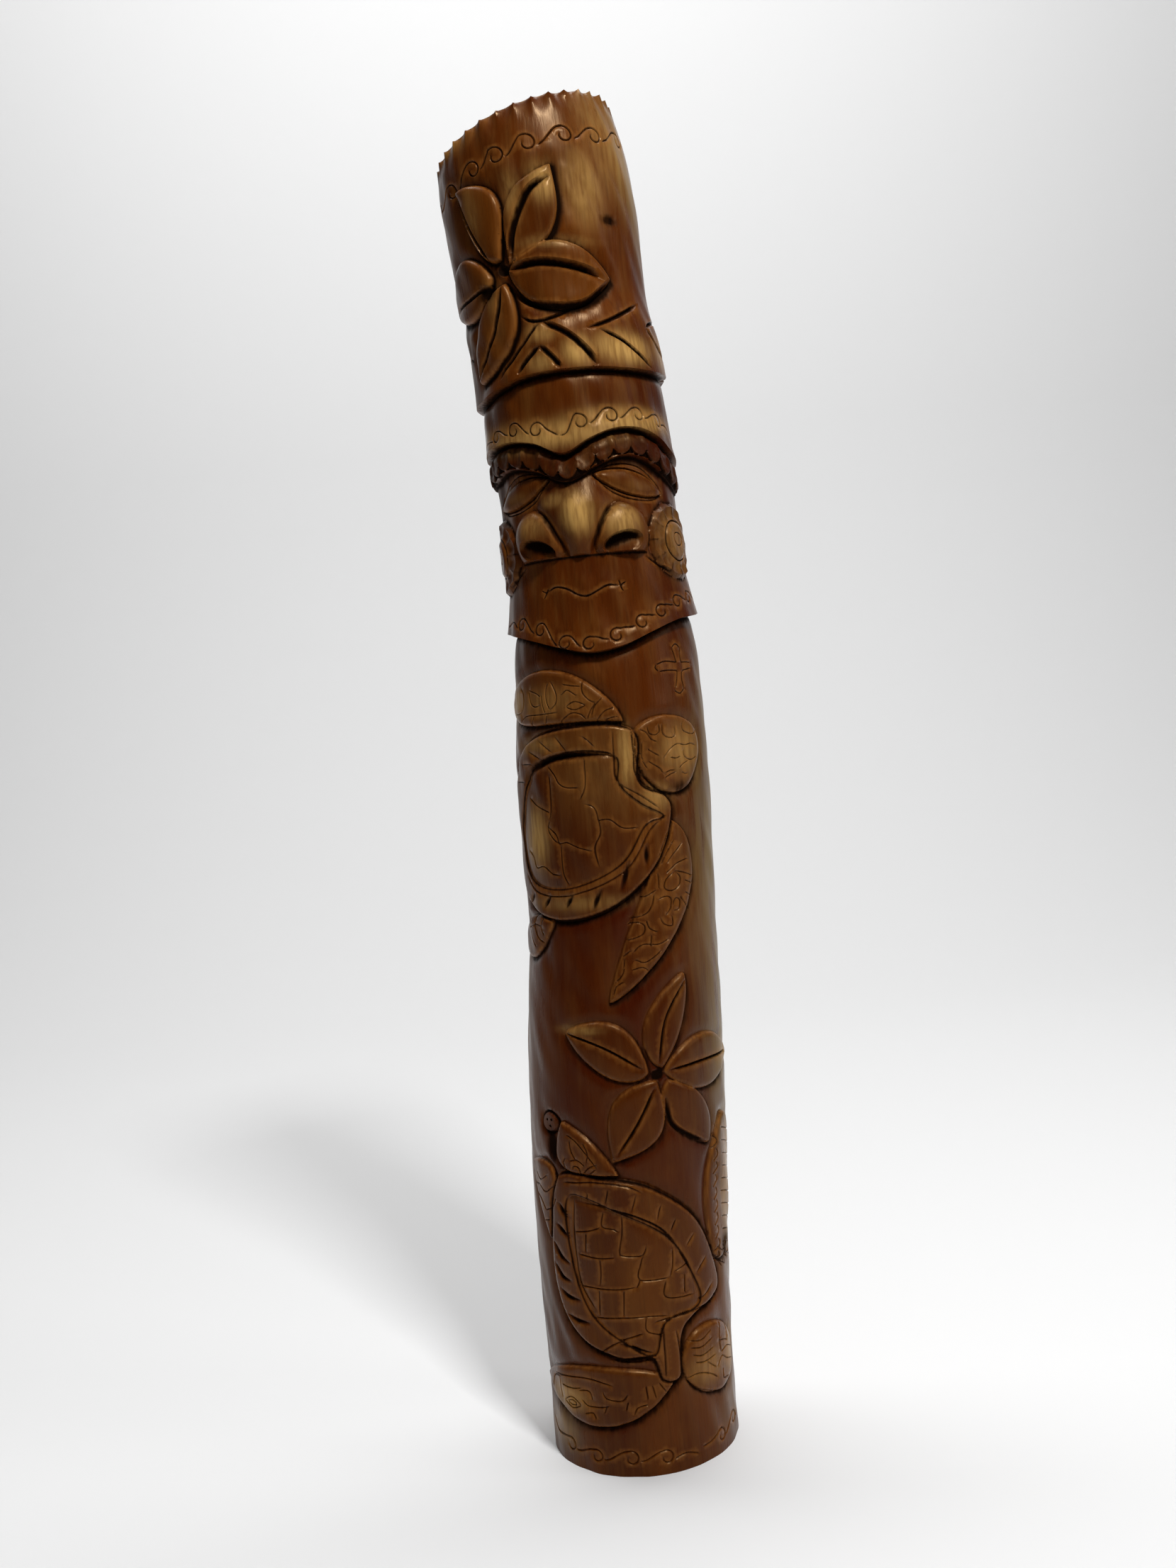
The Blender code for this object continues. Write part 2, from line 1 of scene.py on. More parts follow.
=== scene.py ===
"""The carved totem log as the photograph shows it.

One fine mesh of the log stands for its plain solid. It has the same bowed trunk and the same carving, and
the shallow lines that the solid leaves out: wave borders, scales, shell plates, eyelids, the mouth and the
small knots. The carving is drawn on the unrolled log, in pattern millimetres: across runs round from the
middle of the front, positive to the right, and up is the height above the foot. The mesh's points are laid
along the carved lines, so that each cut has clean edges, and the stain is written onto the same points,
together with painted shade in the cuts, corners and under lips, and painted highlights on edges.
"""

import math

import bpy
import numpy as np
from mathutils import Matrix, Vector
from mathutils.geometry import delaunay_2d_cdt


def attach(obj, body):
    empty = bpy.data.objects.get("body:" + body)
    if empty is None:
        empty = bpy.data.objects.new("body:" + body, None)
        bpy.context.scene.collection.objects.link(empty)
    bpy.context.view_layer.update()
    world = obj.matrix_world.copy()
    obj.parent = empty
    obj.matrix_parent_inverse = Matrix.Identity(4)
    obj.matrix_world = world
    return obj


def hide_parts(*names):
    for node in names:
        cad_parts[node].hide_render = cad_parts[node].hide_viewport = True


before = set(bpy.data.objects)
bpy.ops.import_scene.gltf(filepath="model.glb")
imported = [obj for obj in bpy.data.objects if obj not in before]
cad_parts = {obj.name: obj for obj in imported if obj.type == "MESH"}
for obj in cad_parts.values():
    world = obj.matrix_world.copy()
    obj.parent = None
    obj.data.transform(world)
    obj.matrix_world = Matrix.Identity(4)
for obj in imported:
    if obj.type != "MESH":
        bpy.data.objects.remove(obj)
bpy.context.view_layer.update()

NODE = "carved_log"

# One pattern millimetre, in metres.
MM = 0.001
PATTERN_START = -2.0
PATTERN_RADIUS = 60.0
AROUND = 2 * math.pi * PATTERN_RADIUS

# How far apart the mesh's points lie: along carved lines, and between them on the carved front, over the
# mask's face and on the plain back.
LINE_STEP = 1.2
FRONT_STEP, FACE_STEP, BACK_STEP = 2.3, 1.35, 5.0
FRONT_REACH = 108.0
FACE_LEFT, FACE_RIGHT, FACE_LOW, FACE_HIGH = -100, 78, 592, 700
CLOSEST = 0.45
CLEARANCE = 1.05
# The top band of the flat pattern is stretched to a level edge while the points are joined up.
BAND_LOW, BAND_HIGH = 840.0, 900.0
SHARP_ANGLE = math.radians(40)
CAP_RINGS = (0.985, 0.93, 0.8, 0.6, 0.35, 0.12)
WALL = 1.1
NOTCH_WIDTH = 6.5
# A cut wider than this also has points halfway down its sides.
WIDE_CUT = 3.0
# Where the mesh has points above and below the edge of each ring.
RING_LINES = (4, 1.5, 0, -WALL / 2, -WALL, -2.6, -4.6, -7.6)
# How far below the rim the gouged flutes have rows of points.
FLUTE_LINES = (1.5, 3.2, 5.4, 8.2, 11.5)
RIM_POINTS, FOOT_POINTS = 320, 180
SEAM_STEP = 4.0

# Painted shadow round the figures: it lies deepest below and to the right of them, and starts this far from
# their edges.
SHADOW_SIDE = (1.0, -1.5)
SHADOW_START = 0.7 * WALL
# How wide the bright edges are, worn and with a painted highlight, and how bright they are on cuts and on
# figures.
WEAR_AND_HIGHLIGHT_EDGE = 1.1
CUT_WEAR_AND_HIGHLIGHT, FIGURE_WEAR_AND_HIGHLIGHT = 0.55, 0.8
FIGURE_EDGE = 1.5

# The bare trunk: height, how far its middle bows to the side, and its radius.
TRUNK = (
    (-5, 1.5, 65.4), (50, 2.1, 64.8), (100, 3.0, 66.3), (160, 4.3, 67.5), (230, 8.0, 68.7),
    (300, 11.8, 67.9), (350, 15.1, 65.7), (420, 17.4, 66.1), (480, 18.4, 66.5), (530, 19.7, 64.3),
    (580, 19.7, 62.4), (640, 17.3, 62.0), (680, 15.2, 62.8), (720, 12.4, 62.8), (757, 9.8, 64.9),
    (785, 5.7, 63.6), (805, 4.2, 64.2), (850, 0.9, 66.2), (885, -1.9, 64.8), (915, -5.0, 60.8),
    (945, -8.5, 55.5),
)
TOP_CUT_HEIGHT = 902.6
TOP_CUT_RISE_RIGHT = 0.268
TOP_CUT_RISE_FRONT = 0.06
RIM_SCALLOPS = 32
SCALLOP_DEPTH = 2.4
SCALLOP_LENGTH = 15.0
SCALLOP_DIP = 1.8
# How far down the flutes on the left have a painted highlight, and how strong it is.
FLUTE_HIGHLIGHT_LENGTH, FLUTE_HIGHLIGHT_STRENGTH = 10.0, 0.8

# Rings carved round the log. Each is a line of (across, up) points that closes on itself.
BELT_EDGE = (
    (-150, 727), (-95, 724), (-75, 724.5), (-60, 726), (-45, 728.5), (-28, 731), (0, 732),
    (55, 732), (75, 733), (95, 735.5), (125, 732),
)
BROW_LIP = (
    (-150, 686), (-112, 688), (-92, 690), (-70, 692), (-50, 692), (-30, 687.5), (-12, 678.5),
    (5, 686.5), (20, 692), (34, 693.5), (50, 690.5), (66, 683.5), (80, 678), (94, 675), (125, 679),
)
BROW_FOOT = (
    (-150, 668), (-112, 668), (-92, 670), (-72, 673), (-55, 675), (-34, 670.5), (-11, 660.5),
    (8, 669.5), (28, 675.5), (48, 671.5), (66, 662), (80, 657), (94, 655), (125, 661),
)
CHIN_EDGE = (
    (-150, 573), (-110, 571), (-90, 568.5), (-70, 565), (-50, 560), (-30, 553.5), (-10, 548.5),
    (10, 551), (30, 559), (50, 566), (75, 569.5), (95, 572), (120, 573),
)

# The mask's middle line, how far from it the carved front fades into the back, and the parts of its face.
FACE_MIDDLE = -10.5
FRONT_ENDS, BACK_STARTS = 95, 125
NOSE_FOOT = 611.5
NOSE_RIDGE = ((600, 0), (611, 3.0), (620, 6.8), (632, 9.4), (643, 10.6), (651, 8.8), (661, 4.6), (673, 0))
NOSE_FOLD = ((31, 646), (22, 641), (16.5, 633), (12.5, 624), (7, 612))
NOSE_REACH = 47.0
WING_OFFSET, WING_HEIGHT = 29.0, 625.0
WING_RADII, WING_PROUD = (20.5, 20.0), 8.4
NOSTRIL_OFFSET, NOSTRIL_HEIGHT, NOSTRIL_TILT = 28.0, 617.5, 17.0
NOSTRIL_RADII = (13.5, 7.8)
EYE_OFFSET, EYE_HEIGHT, EYE_LENGTH, EYE_SLANT = 42.0, 657.5, 55.0, 13.0
EYE_UPPER, EYE_LOWER = 8.5, 8.5
EAR_OFFSET, EAR_HEIGHT, EAR_RADIUS = 74.5, 619.5, 26.0
EAR_BUTTON = 13.0
EAR_PETALS = 12
PUPIL_RADII = (5.6, 4.4)
BROW_SCALE_PITCH = 12.0
BROW_RIDGE, BROW_GAP = 1.8, 3

# Leaf shapes make the petals and the turtles' limbs. Each has a base and a tip, how far it swells to the
# left and to the right of the line between them, where along that line each swell is widest, and how
# blunt its ends are: 1 is sharp and 0.5 is round.
SHARP, POINTED, ROUND = 1.0, 0.75, 0.5
LARGE_PETALS = (
    ((-31, 808), (-56, 859), 9.3, 20.9, 0.30, 0.60, POINTED),
    ((-25, 804), (9, 863), 15.0, 16.5, 0.54, 0.46, SHARP),
    ((-26, 799), (38, 790), 20.1, 23.8, 0.49, 0.45, POINTED),
    ((-31, 792), (-67, 735), 17.9, 12.2, 0.47, 0.51, POINTED),
    ((-40, 798), (-95, 788), 16.2, 22.5, 0.45, 0.43, POINTED),
)
LARGE_HEART_HOLES = ((-30, 801, 4.5, 3.0), (-44, 789, 5.0, 2.6))
SMALL_PETALS = (
    ((11, 269), (-39, 298), 11.7, 19.5, 0.36, 0.54, POINTED),
    ((20, 272), (37, 331), 17.1, 6.5, 0.42, 0.53, POINTED),
    ((22, 269), (84, 268), 19.1, 16.8, 0.47, 0.50, POINTED),
    ((24, 262), (53, 214), 12.6, 14.0, 0.54, 0.40, POINTED),
    ((16, 263), (-11, 212), 17.8, 16.4, 0.51, 0.41, SHARP),
)
SMALL_HEART_HOLES = ((17, 267, 4.5, 2.0),)

# V cuts are a line of points, a width and a depth. These also show on the solid.
LARGE_PETAL_CUTS = (
    (((-38, 807), (-48, 830), (-55, 856)), 2.5, 1.6),
    (((-23, 804), (-19, 823), (-6, 846), (7, 854.5)), 5.5, 4.0),
    (((-26, 799.5), (-5, 801), (18, 796), (30, 790.5)), 7.0, 4.6),
    (((-27, 791), (-18, 778), (3, 772), (20, 775), (38, 789)), 5.5, 3.4),
    (((-33, 793), (-38, 775), (-50, 755), (-66, 738)), 4.0, 2.2),
    (((-38, 793), (-60, 790), (-90, 789)), 3.5, 1.8),
)
SMALL_PETAL_CUTS = (
    (((8, 272), (-14, 288), (-38, 298)), 2.4, 1.5),
    (((18, 275), (23, 303), (37, 327)), 2.4, 1.3),
    (((24, 269), (50, 270), (82, 268.5)), 3.0, 2.0),
    (((21, 252), (26, 232), (51, 213)), 3.4, 2.2),
    (((15, 259), (4, 236), (-8, 216)), 2.6, 1.6),
)
BELT_CUTS = (
    (((-33, 733), (-26, 740), (-16, 748.5)), 3.6, 2.6),
    (((-16, 748.5), (-10, 741), (-5, 733)), 4.6, 3.4),
    (((-48, 733), (-30, 748), (-13, 764)), 3.0, 1.8),
    (((-13, 764.5), (1, 755), (11, 744), (17, 733)), 5.6, 3.8),
    (((-25, 770), (-17, 764.5), (-4, 766), (9, 771)), 3.2, 2.0),
    (((14, 757), (30, 762.5), (60, 777)), 3.4, 2.4),
    (((22, 757), (40, 747.5), (59, 734)), 3.2, 2.2),
    (((62, 762), (74, 752), (92, 745)), 5.0, 3.0),
    (((62, 762), (76, 768), (95, 772)), 3.4, 2.2),
    (((-96, 758), (-87, 757), (-77, 753)), 3.0, 1.8),
)
# The middles of the plain chevrons that carry the belt round the back, and the size of one.
BACK_CHEVRONS = (118, 163, -168, -123)
CHEVRON_HALF, CHEVRON_FOOT, CHEVRON_TOP = 20, 731, 762

# Turtles: the leaf shapes of their limbs, and the outer and inner line of each shell's rim.
UPPER_TURTLE_LIMBS = (
    ((6, 502), (-95, 520), 10.2, 28.0, 0.73, 0.48, POINTED),
    ((16, 470), (61, 491), 25.1, 27.1, 0.34, 0.41, ROUND),
    ((34, 433), (-10, 318), 28.5, 3.8, 0.37, 0.63, POINTED),
    ((-49, 371), (-92, 354), 14.4, 11.5, 0.64, 0.55, ROUND),
)
UPPER_SHELL = (
    (12, 495), (-30, 500), (-68, 489), (-87, 458), (-91, 415), (-78, 386), (-45, 372.5), (-8, 379.5),
    (21, 404), (34, 436), (31, 450), (14, 461),
)
UPPER_PLATES = (
    (0, 480), (-30, 484), (-58, 472), (-75, 440), (-76, 412), (-60, 396), (-30, 394.5), (0, 408),
    (16, 432), (28, 437), (14, 447), (2, 461),
)
LOWER_TURTLE_LIMBS = (
    ((-9, 203), (-44, 237), 21.7, 4.6, 0.62, 0.55, POINTED),
    ((-56, 152), (-80, 204), 2.6, 24.3, 0.50, 0.77, ROUND),
    ((63, 130), (76, 227), 19.0, 22.8, 0.54, 0.46, ROUND),
    ((19, 61), (-86, 51), 25.6, 14.4, 0.48, 0.48, POINTED),
    ((33, 85), (73, 45), 21.6, 23.0, 0.49, 0.44, ROUND),
)
LOWER_SHELL = (
    (-48, 200), (-20, 201), (8, 194), (36, 171), (52, 143), (58, 112), (34, 100), (26, 88), (24, 62),
    (12, 62), (6, 78), (-15, 79), (-42, 94), (-56, 122), (-57, 160),
)
LOWER_PLATES = (
    (-40, 188), (-8, 178), (20, 158), (35, 130), (40, 108), (16, 101), (8, 80), (-10, 90), (-30, 110),
    (-40, 145),
)

# Below here is what only this mesh has. Running waves: the points that the line enters by, each scroll's
# middle, radius and way of turning (1 curls down to the right, -1 to the left), and the points it leaves by.
WAVE_BORDERS = (
    (
        ((-106, 866), (-97, 862), (-91, 858)),
        ((-86, 857.5, 5.1, 1), (-62.5, 861.5, 5.6, 1), (-39.5, 868, 5.8, 1), (-22.4, 872, 6.2, 1),
         (-2.3, 877.3, 6.2, 1), (21, 882, 6.2, 1), (43.2, 884, 5.8, 1), (70, 888.5, 5.8, 1),
         (90, 896, 5.8, 1)),
        ((100, 899),),
    ),
    (
        ((-13, 690), (-20, 695)),
        ((-27, 695.5, 5.3, -1), (-44, 698.5, 5.3, -1), (-62, 698, 4.6, -1)),
        ((-76, 697), (-90, 695)),
    ),
    (
        ((-13, 690), (-8, 691.5)),
        ((1, 697.5, 5.6, 1), (21, 700.5, 5.6, 1), (41, 701.5, 5.3, 1), (60, 699, 5.1, 1)),
        ((72, 698), (84, 692)),
    ),
    (
        ((106, 586), (98, 589)),
        ((88, 583.5, 4.6, -1), (71, 581.5, 4.9, -1), (55, 578, 4.9, -1), (39, 571.5, 5.1, -1),
         (24, 565, 5.3, -1), (7, 557.5, 5.3, -1), (-10, 553.5, 5.1, -1), (-25, 555.5, 5.3, -1),
         (-43, 566, 5.1, -1), (-61, 571.5, 4.9, -1)),
        ((-73, 575), (-84, 573)),
    ),
    (
        ((-80, 22), (-72, 15)),
        ((-56, 11.5, 5.3, 1), (-34, 9.5, 4.9, 1), (-11, 10, 5.6, 1), (11, 9, 5.3, 1)),
        ((24, 9), (33, 6)),
    ),
    (
        ((36, 9), (44, 10)),
        ((54, 9.5, 5.1, 1), (72, 13, 5.1, 1)),
        ((84, 19),),
    ),
)
WAVE_WIDTH, WAVE_DEPTH = 1.9, 0.9
# The border at the foot is the only one below this, and its lines hold less dark stain and painted shade.
FAINT_BELOW = 30.0
# A scroll's curl starts this share of a half turn before its top, goes on for this many half turns, and
# shrinks by this share of its radius.
CURL_START, CURL_TURNS, CURL_SHRINK = 0.18, 1.9, 0.62
# The next path starts this far beside and below the scroll's middle, in radii, and climbs in a slight S:
# shares of the climb, with how far the line lies above the straight one.
WAVE_SIDE, WAVE_DROP = 0.95, 0.35
WAVE_CLIMB = ((0.3, -0.05), (0.6, 0.0), (0.85, 0.03))

# Lines of the mask.
MOUTH = ((-37, 590), (-30, 593), (-22, 591), (-15, 586.5), (-9, 585), (-2, 588), (5, 591), (13, 590))
MOUTH_ENDS = (
    ((-39.5, 586), (-37, 590), (-35, 593.5)), ((-41, 592), (-37, 590)), ((12, 594), (13, 590)),
    ((17, 592.5), (13, 590), (14.5, 586)),
)
LID_UPPER = ((-27, 7.5), (-12, 12.5), (6, 11.5), (22, 3), (30, -7))
LID_LOWER = ((-27, 6.5), (-18, -4), (-4, -10.5), (14, -11.5), (30, -7))
CHEEKS = (((-54, 610), (-64, 603.5), (-76, 597)), ((33, 610), (43, 603.5), (55, 597)))

# A small cross outlined on the chest.
CROSS = (
    ((45.5, 520), (47.5, 528), (48, 532)), ((48, 537), (47, 542), (45.5, 547)),
    ((53, 520), (51.5, 527), (53, 532)), ((53, 537), (52.5, 542), (54, 547)),
    ((45.5, 547), (50, 550), (54, 547)), ((44, 519), (49, 516.5), (53, 520)),
    ((33, 532), (40, 532.5), (48, 532)), ((53, 532), (58, 532.5), (64, 533.5)),
    ((31.5, 536.5), (38, 538.5), (48, 537.5)), ((53, 537.5), (60, 537.5), (64, 537)),
    ((33, 532), (30.5, 534.5), (31.5, 536.5)),
)

# Lines between the plates of the shells.
UPPER_SHELL_LINES = (
    ((-43, 476), (-38, 470), (-35, 464), (-30, 461), (-22, 460.5)),
    ((-42, 470), (-42, 450), (-44, 440)),
    ((-62, 455), (-55, 450), (-43, 445)),
    ((-46, 436), (-40, 430), (-38, 424), (-33, 425), (-25, 421), (-16, 418)),
    ((-18, 480), (-18, 462), (-22, 452)),
    ((-20, 450), (-14, 447), (-12, 440), (-11, 430), (-15, 420), (-13, 407)),
    ((-13, 438), (-5, 438), (2, 432), (12, 431)),
    ((-37, 424), (-37, 410), (-36, 402), (-33, 396)),
    ((-68, 420), (-62, 415), (-60, 408), (-52, 409), (-45, 404), (-38, 403)),
    ((-44, 440), (-46, 434), (-42, 427), (-38, 424)),
)
LOWER_SHELL_LINES = (
    ((-18, 179), (-19, 169), (-12, 167), (-9, 165)),
    ((-7, 177), (-7, 165), (-9, 152), (-7, 149), (4, 148.5), (7, 156)),
    ((-37, 164), (-28, 165.5), (-20, 168)), ((-29, 164), (-30, 151)),
    ((-35, 149), (-20, 147.5), (-12, 148)), ((-21, 147), (-21, 138), (-22, 129)),
    ((5, 149), (3, 143), (2, 132), (20, 131)), ((23, 150), (22, 138), (20, 131)),
    ((-36, 127.5), (-12, 126.5), (0, 127.5)), ((2, 132), (0, 127)), ((-8, 126), (-9, 108)),
    ((-27, 106.5), (0, 107), (18, 105)), ((17, 130), (17, 118), (36, 115)), ((4, 107), (4, 97), (14, 92)),
    ((30, 131), (29, 118)), ((33, 137), (23, 134)), ((-23, 126), (-24, 108)),
)
# Lines beside a rim, then the notches across it: wide ones are gouged, thin ones are only scratched.
RIM_LINES = (
    ((-76, 404), (-60, 391), (-30, 390), (2, 403.5), (19, 429), (30, 437)),
    ((0, 497), (0, 478), (1, 463), (14, 452), (27, 441)),
    ((11, 496), (11.5, 480), (12, 466), (22, 455), (31, 451)),
    ((-36.5, 187), (-37.5, 165), (-37, 145), (-35, 128), (-26, 111)),
    ((-26, 82), (-14, 90), (2, 96)),
    ((14, 97), (14, 78), (14, 63)), ((22, 95), (24, 78), (24, 63)), ((8, 102), (34, 104), (58, 105)),
    ((-20, 78), (-5, 75.5), (10, 78)), ((-44, 197), (-20, 198.5), (-4, 195.5), (6, 190)),
)
WIDE_RUNGS = (
    ((16, 420), (15, 405)), ((5, 410), (2, 400), (-1, 390)), ((-12, 394), (-16, 385), (-19, 378)),
    ((-30, 391), (-37, 380)), ((-48, 390), (-55, 380)), ((-64, 391), (-72, 383)),
    ((-48, 183), (-42, 172)), ((-51, 168), (-41, 159)), ((-55, 155), (-49, 145), (-41, 141)),
    ((-55, 140), (-49, 131), (-41, 129)), ((-52, 123), (-45, 118), (-35, 117)),
    ((-47, 106), (-40, 103), (-30, 102)),
)
THIN_RUNGS = (
    ((-20, 495), (-15, 491), (-10, 485)), ((-37, 496), (-28, 484)), ((-50, 494), (-38, 484)),
    ((-60, 487), (-47, 480)), ((-70, 478), (-56, 478)), ((-82, 466), (-66, 466)),
    ((17, 182), (15, 175), (14, 169)), ((26, 170), (22, 161)), ((38, 157), (32, 148)),
    ((47, 138), (38, 128)), ((52, 118), (45, 112), (38, 110)), ((-27, 192), (-27, 186)),
    ((-14, 195), (-16, 184)), ((2, 190), (-1, 178)),
)
# Each kind of these lines, with its width, its depth, the share of it that runs out at each end, and how
# much dark stain and painted shade it holds.
LINE_KINDS = (
    ((MOUTH,), 2.2, 1.0, 0.1, 1.0),
    (MOUTH_ENDS, 1.4, 0.7, 0.1, 1.0),
    (CHEEKS, 2.6, 1.1, 0.3, 0.8),
    (CROSS, 1.5, 0.7, 0.05, 0.85),
    (UPPER_SHELL_LINES + LOWER_SHELL_LINES, 1.6, 0.75, 0.08, 0.65),
    (RIM_LINES, 2.0, 0.9, 0.08, 0.6),
    (WIDE_RUNGS, 4.2, 1.8, 0.45, 1.0),
    (THIN_RUNGS, 1.6, 0.6, 0.3, 0.75),
)
# Dark crescents under the near side of each rim: cuts darkened with painted shade.
CRESCENTS = (
    (((-66, 462), (-57, 474), (-38, 481), (-18, 482), (0, 480)), 7.0, 3.4),
    (((-15, 90.5), (-4, 86), (8, 81)), 2.8, 1.3),
    (((-38, 186), (-15, 181.5), (3, 174), (20, 160), (33, 134)), 2.2, 1.0),
)

# Scales and folds scratched into the turtles' skin.
UPPER_SKIN = (
    ((-68, 530), (-64.5, 525), (-65, 517), (-69, 513), (-78, 512)),
    ((-58, 527.5), (-50, 524.5), (-47, 522)), ((-58, 527), (-56, 518.5), (-52, 515.8), (-47.5, 517)),
    ((-46, 524), (-45, 516), (-43, 510.8)), ((-40, 531), (-42.3, 525), (-41.5, 518), (-39, 513)),
    ((-38, 532), (-34, 522), (-35, 516.5), (-39, 513)), ((-30, 529), (-24, 527.5), (-18, 526.5)),
    ((-31, 521.5), (-27, 525), (-23, 522.5), (-20.5, 520.5)),
    ((-17, 530), (-17, 522.5), (-13, 517), (-9, 515)),
    ((-68, 507), (-62, 510.3), (-48, 510.5), (-33, 511)), ((-53, 509.5), (-56.5, 503.5)),
    ((-41.5, 510), (-44, 503.5)), ((-28.5, 508), (-32.5, 503)),
    ((-30, 506), (-24, 509.7), (-18, 508), (-15, 504)), ((-12, 506), (-10, 512.5), (-5, 518)),
    ((-15, 504), (-12, 511), (-9, 515)), ((-9, 503), (-4, 509), (2, 511)),
    ((-5, 501), (-2, 504), (4, 505)), ((-28, 514), (-22, 517), (-15, 514)),
    ((-28, 514), (-22, 511.5), (-15, 514)), ((-86, 524), (-80, 520), (-84, 512)),
    ((16, 495), (20, 493), (23, 488), (27, 486)),
    ((21, 497), (22, 492), (26, 490.5), (29, 493), (28, 498)),
    ((31, 498), (31, 491), (35, 488), (40, 489), (40, 496)), ((47, 498), (47, 492), (56, 489), (60, 492)),
    ((20, 482), (24, 479), (28, 476.5)),
    ((30, 474), (35, 480), (41, 483.5), (48, 482), (53, 483), (58, 481)),
    ((35, 475.3), (39, 474), (43, 475)), ((47, 480), (46, 476), (49, 473), (54, 472), (58, 474)),
    ((41, 467), (45, 470), (50, 471.5)), ((31, 465), (35, 466.5), (38, 466)),
    ((30, 461.5), (35, 464), (39, 465)), ((43, 465), (46, 463), (48, 464)),
    ((20, 474), (24, 471), (28, 468), (29, 465)),
    ((13, 492), (12.7, 482), (13.5, 472), (17, 464), (26, 456)), ((17, 487), (16.5, 476), (20, 468)),
    ((30, 427), (27, 419), (23, 410)), ((34, 421), (29, 413), (24, 405)),
    ((40, 418), (33, 411), (28, 405)), ((44, 407), (36, 405), (30, 401), (27, 399)),
    ((47, 395), (40, 398), (33, 400)),
    ((33, 399.5), (37, 396), (36, 390), (31, 387), (26, 389), (27, 395), (33, 399.5)),
    ((20, 389), (15, 386), (10, 385)), ((19, 387), (17, 379), (13, 374), (3, 371.5)),
    ((21, 382), (26, 384), (30, 382), (29, 375), (25, 371)),
    ((31, 377), (33, 382), (36, 380), (35, 374), (31, 374)),
    ((1, 368), (8, 369), (12, 366), (11, 361), (5, 358.5), (0, 358)), ((13, 370), (15, 364), (20, 361)),
    ((22, 371), (24, 366), (30, 364), (30, 371)), ((4, 349), (10, 354), (20, 353), (28, 356)),
    ((-2, 347), (3, 351)), ((5, 345), (11, 342), (17, 345), (22, 349)), ((3, 338), (10, 339), (14, 336)),
    ((-7, 330), (-2, 336), (-1, 346)), ((-8, 321), (-6, 328), (-1, 331)), ((40, 393), (47, 390)),
    ((40, 385), (46, 382)), ((36, 383), (41, 376), (45, 372)), ((15, 352), (16, 360)),
    ((22, 389), (22, 400)), ((-56, 374), (-60, 368), (-57, 362)),
    ((-64, 376), (-68, 369), (-64, 360), (-58, 357)), ((-74, 374), (-76, 366), (-71, 357), (-66, 353)),
    ((-60, 368), (-68, 369)), ((-68, 369), (-76, 366)),
)
LOWER_SKIN = (
    ((-40, 230), (-34, 226), (-28, 219), (-20, 208)), ((-38, 226), (-37, 219), (-34, 213)),
    ((-29, 225), (-26, 218), (-27, 212)), ((-36, 206), (-35.5, 209), (-32, 208), (-31, 203)),
    ((-30, 203), (-26, 208), (-20, 211)), ((-25, 204), (-21, 208)), ((-41, 214), (-43, 211), (-42, 206)),
    ((-38, 212), (-33, 213), (-28, 209)), ((-61, 174), (-54, 178), (-50, 185)),
    ((-68, 190), (-60, 187), (-52, 193)), ((-72, 198), (-66, 194), (-58, 199)), ((-64, 166), (-58, 168)),
    ((-76, 184), (-68, 181), (-61, 174)), ((-80, 198), (-76, 190), (-68, 190)),
    ((58, 140), (66, 134), (74, 138)), ((56, 133), (64, 127), (72, 122)),
    ((62, 144), (60, 133), (66, 122)), ((70, 142), (72, 130), (78, 124)),
    ((66, 138), (76, 128), (84, 128)), ((-68, 58), (-50, 61), (-34, 63), (-18, 60)),
    ((-61, 57), (-62, 50), (-61, 42)), ((-73, 46), (-70, 55), (-60, 58)),
    ((-59, 53), (-50, 53), (-42, 55)), ((-42, 48), (-38, 44), (-30, 44), (-22, 46)),
    ((-24, 46), (-26, 40)), ((-10, 50), (-12, 43)), ((-40, 38), (-34, 39.5), (-32, 35)),
    ((1, 60), (2, 50)), ((5, 60), (7, 50)), ((9, 61), (14, 53)), ((-7, 40), (-5, 45), (2, 47)),
    ((-26, 56), (-24, 51), (-14, 50), (-10, 55)), ((-44, 53), (-36, 54), (-34, 48)),
    ((-58, 43), (-50, 47), (-42, 43)), ((-58, 43), (-50, 39.5), (-42, 43)),
    ((-54, 43), (-50, 45), (-46, 43), (-50, 41.5), (-54, 43)), ((28, 59), (36, 60), (46, 56), (54, 50)),
    ((28, 58), (34, 51), (44, 45), (54, 41)), ((57, 88), (56, 76), (58, 66)), ((66, 83), (67, 71)),
    ((56, 75), (62, 73), (68, 70)), ((58, 66), (66, 67), (76, 62)),
    ((53, 57), (59, 63), (66, 58), (76, 54)), ((60, 54), (60, 47), (68, 45)),
    ((30, 84), (40, 82), (48, 86)), ((31, 79), (40, 77), (49, 80)), ((32, 74), (40, 71), (50, 73)),
    ((34, 68), (42, 66), (52, 67)), ((44, 65), (52, 58)),
)
SIDE_SCALES = 11
SIDE_SCALE_START, SIDE_SCALE_PITCH = 128.0, 8.8

# The side knot, and a small dark flaw.
KNOT = (-54.0, 236.0)
KNOT_RADIUS = 6.6
KNOT_DIMPLES = ((-1.8, 1.6), (2.2, 2.0), (0.6, -2.4))
FLAW = (44.0, 829.0)
FLAW_RADII = (6.0, 2.8)

# The unevenness that tools leave: broad shallow waves, and a patch of gouge dabs with its middle, its
# reach and the size of one dab.
ROUGH_SEED = 11
ROUGH_WAVES, ROUGH_DEPTH = 26, 0.06
DAB_PATCH, DAB_REACH = (27, 848), (13, 24)
DAB_COUNT, DAB_DEPTH, DAB_RADII = 90, 0.5, (3.6, 5.5)

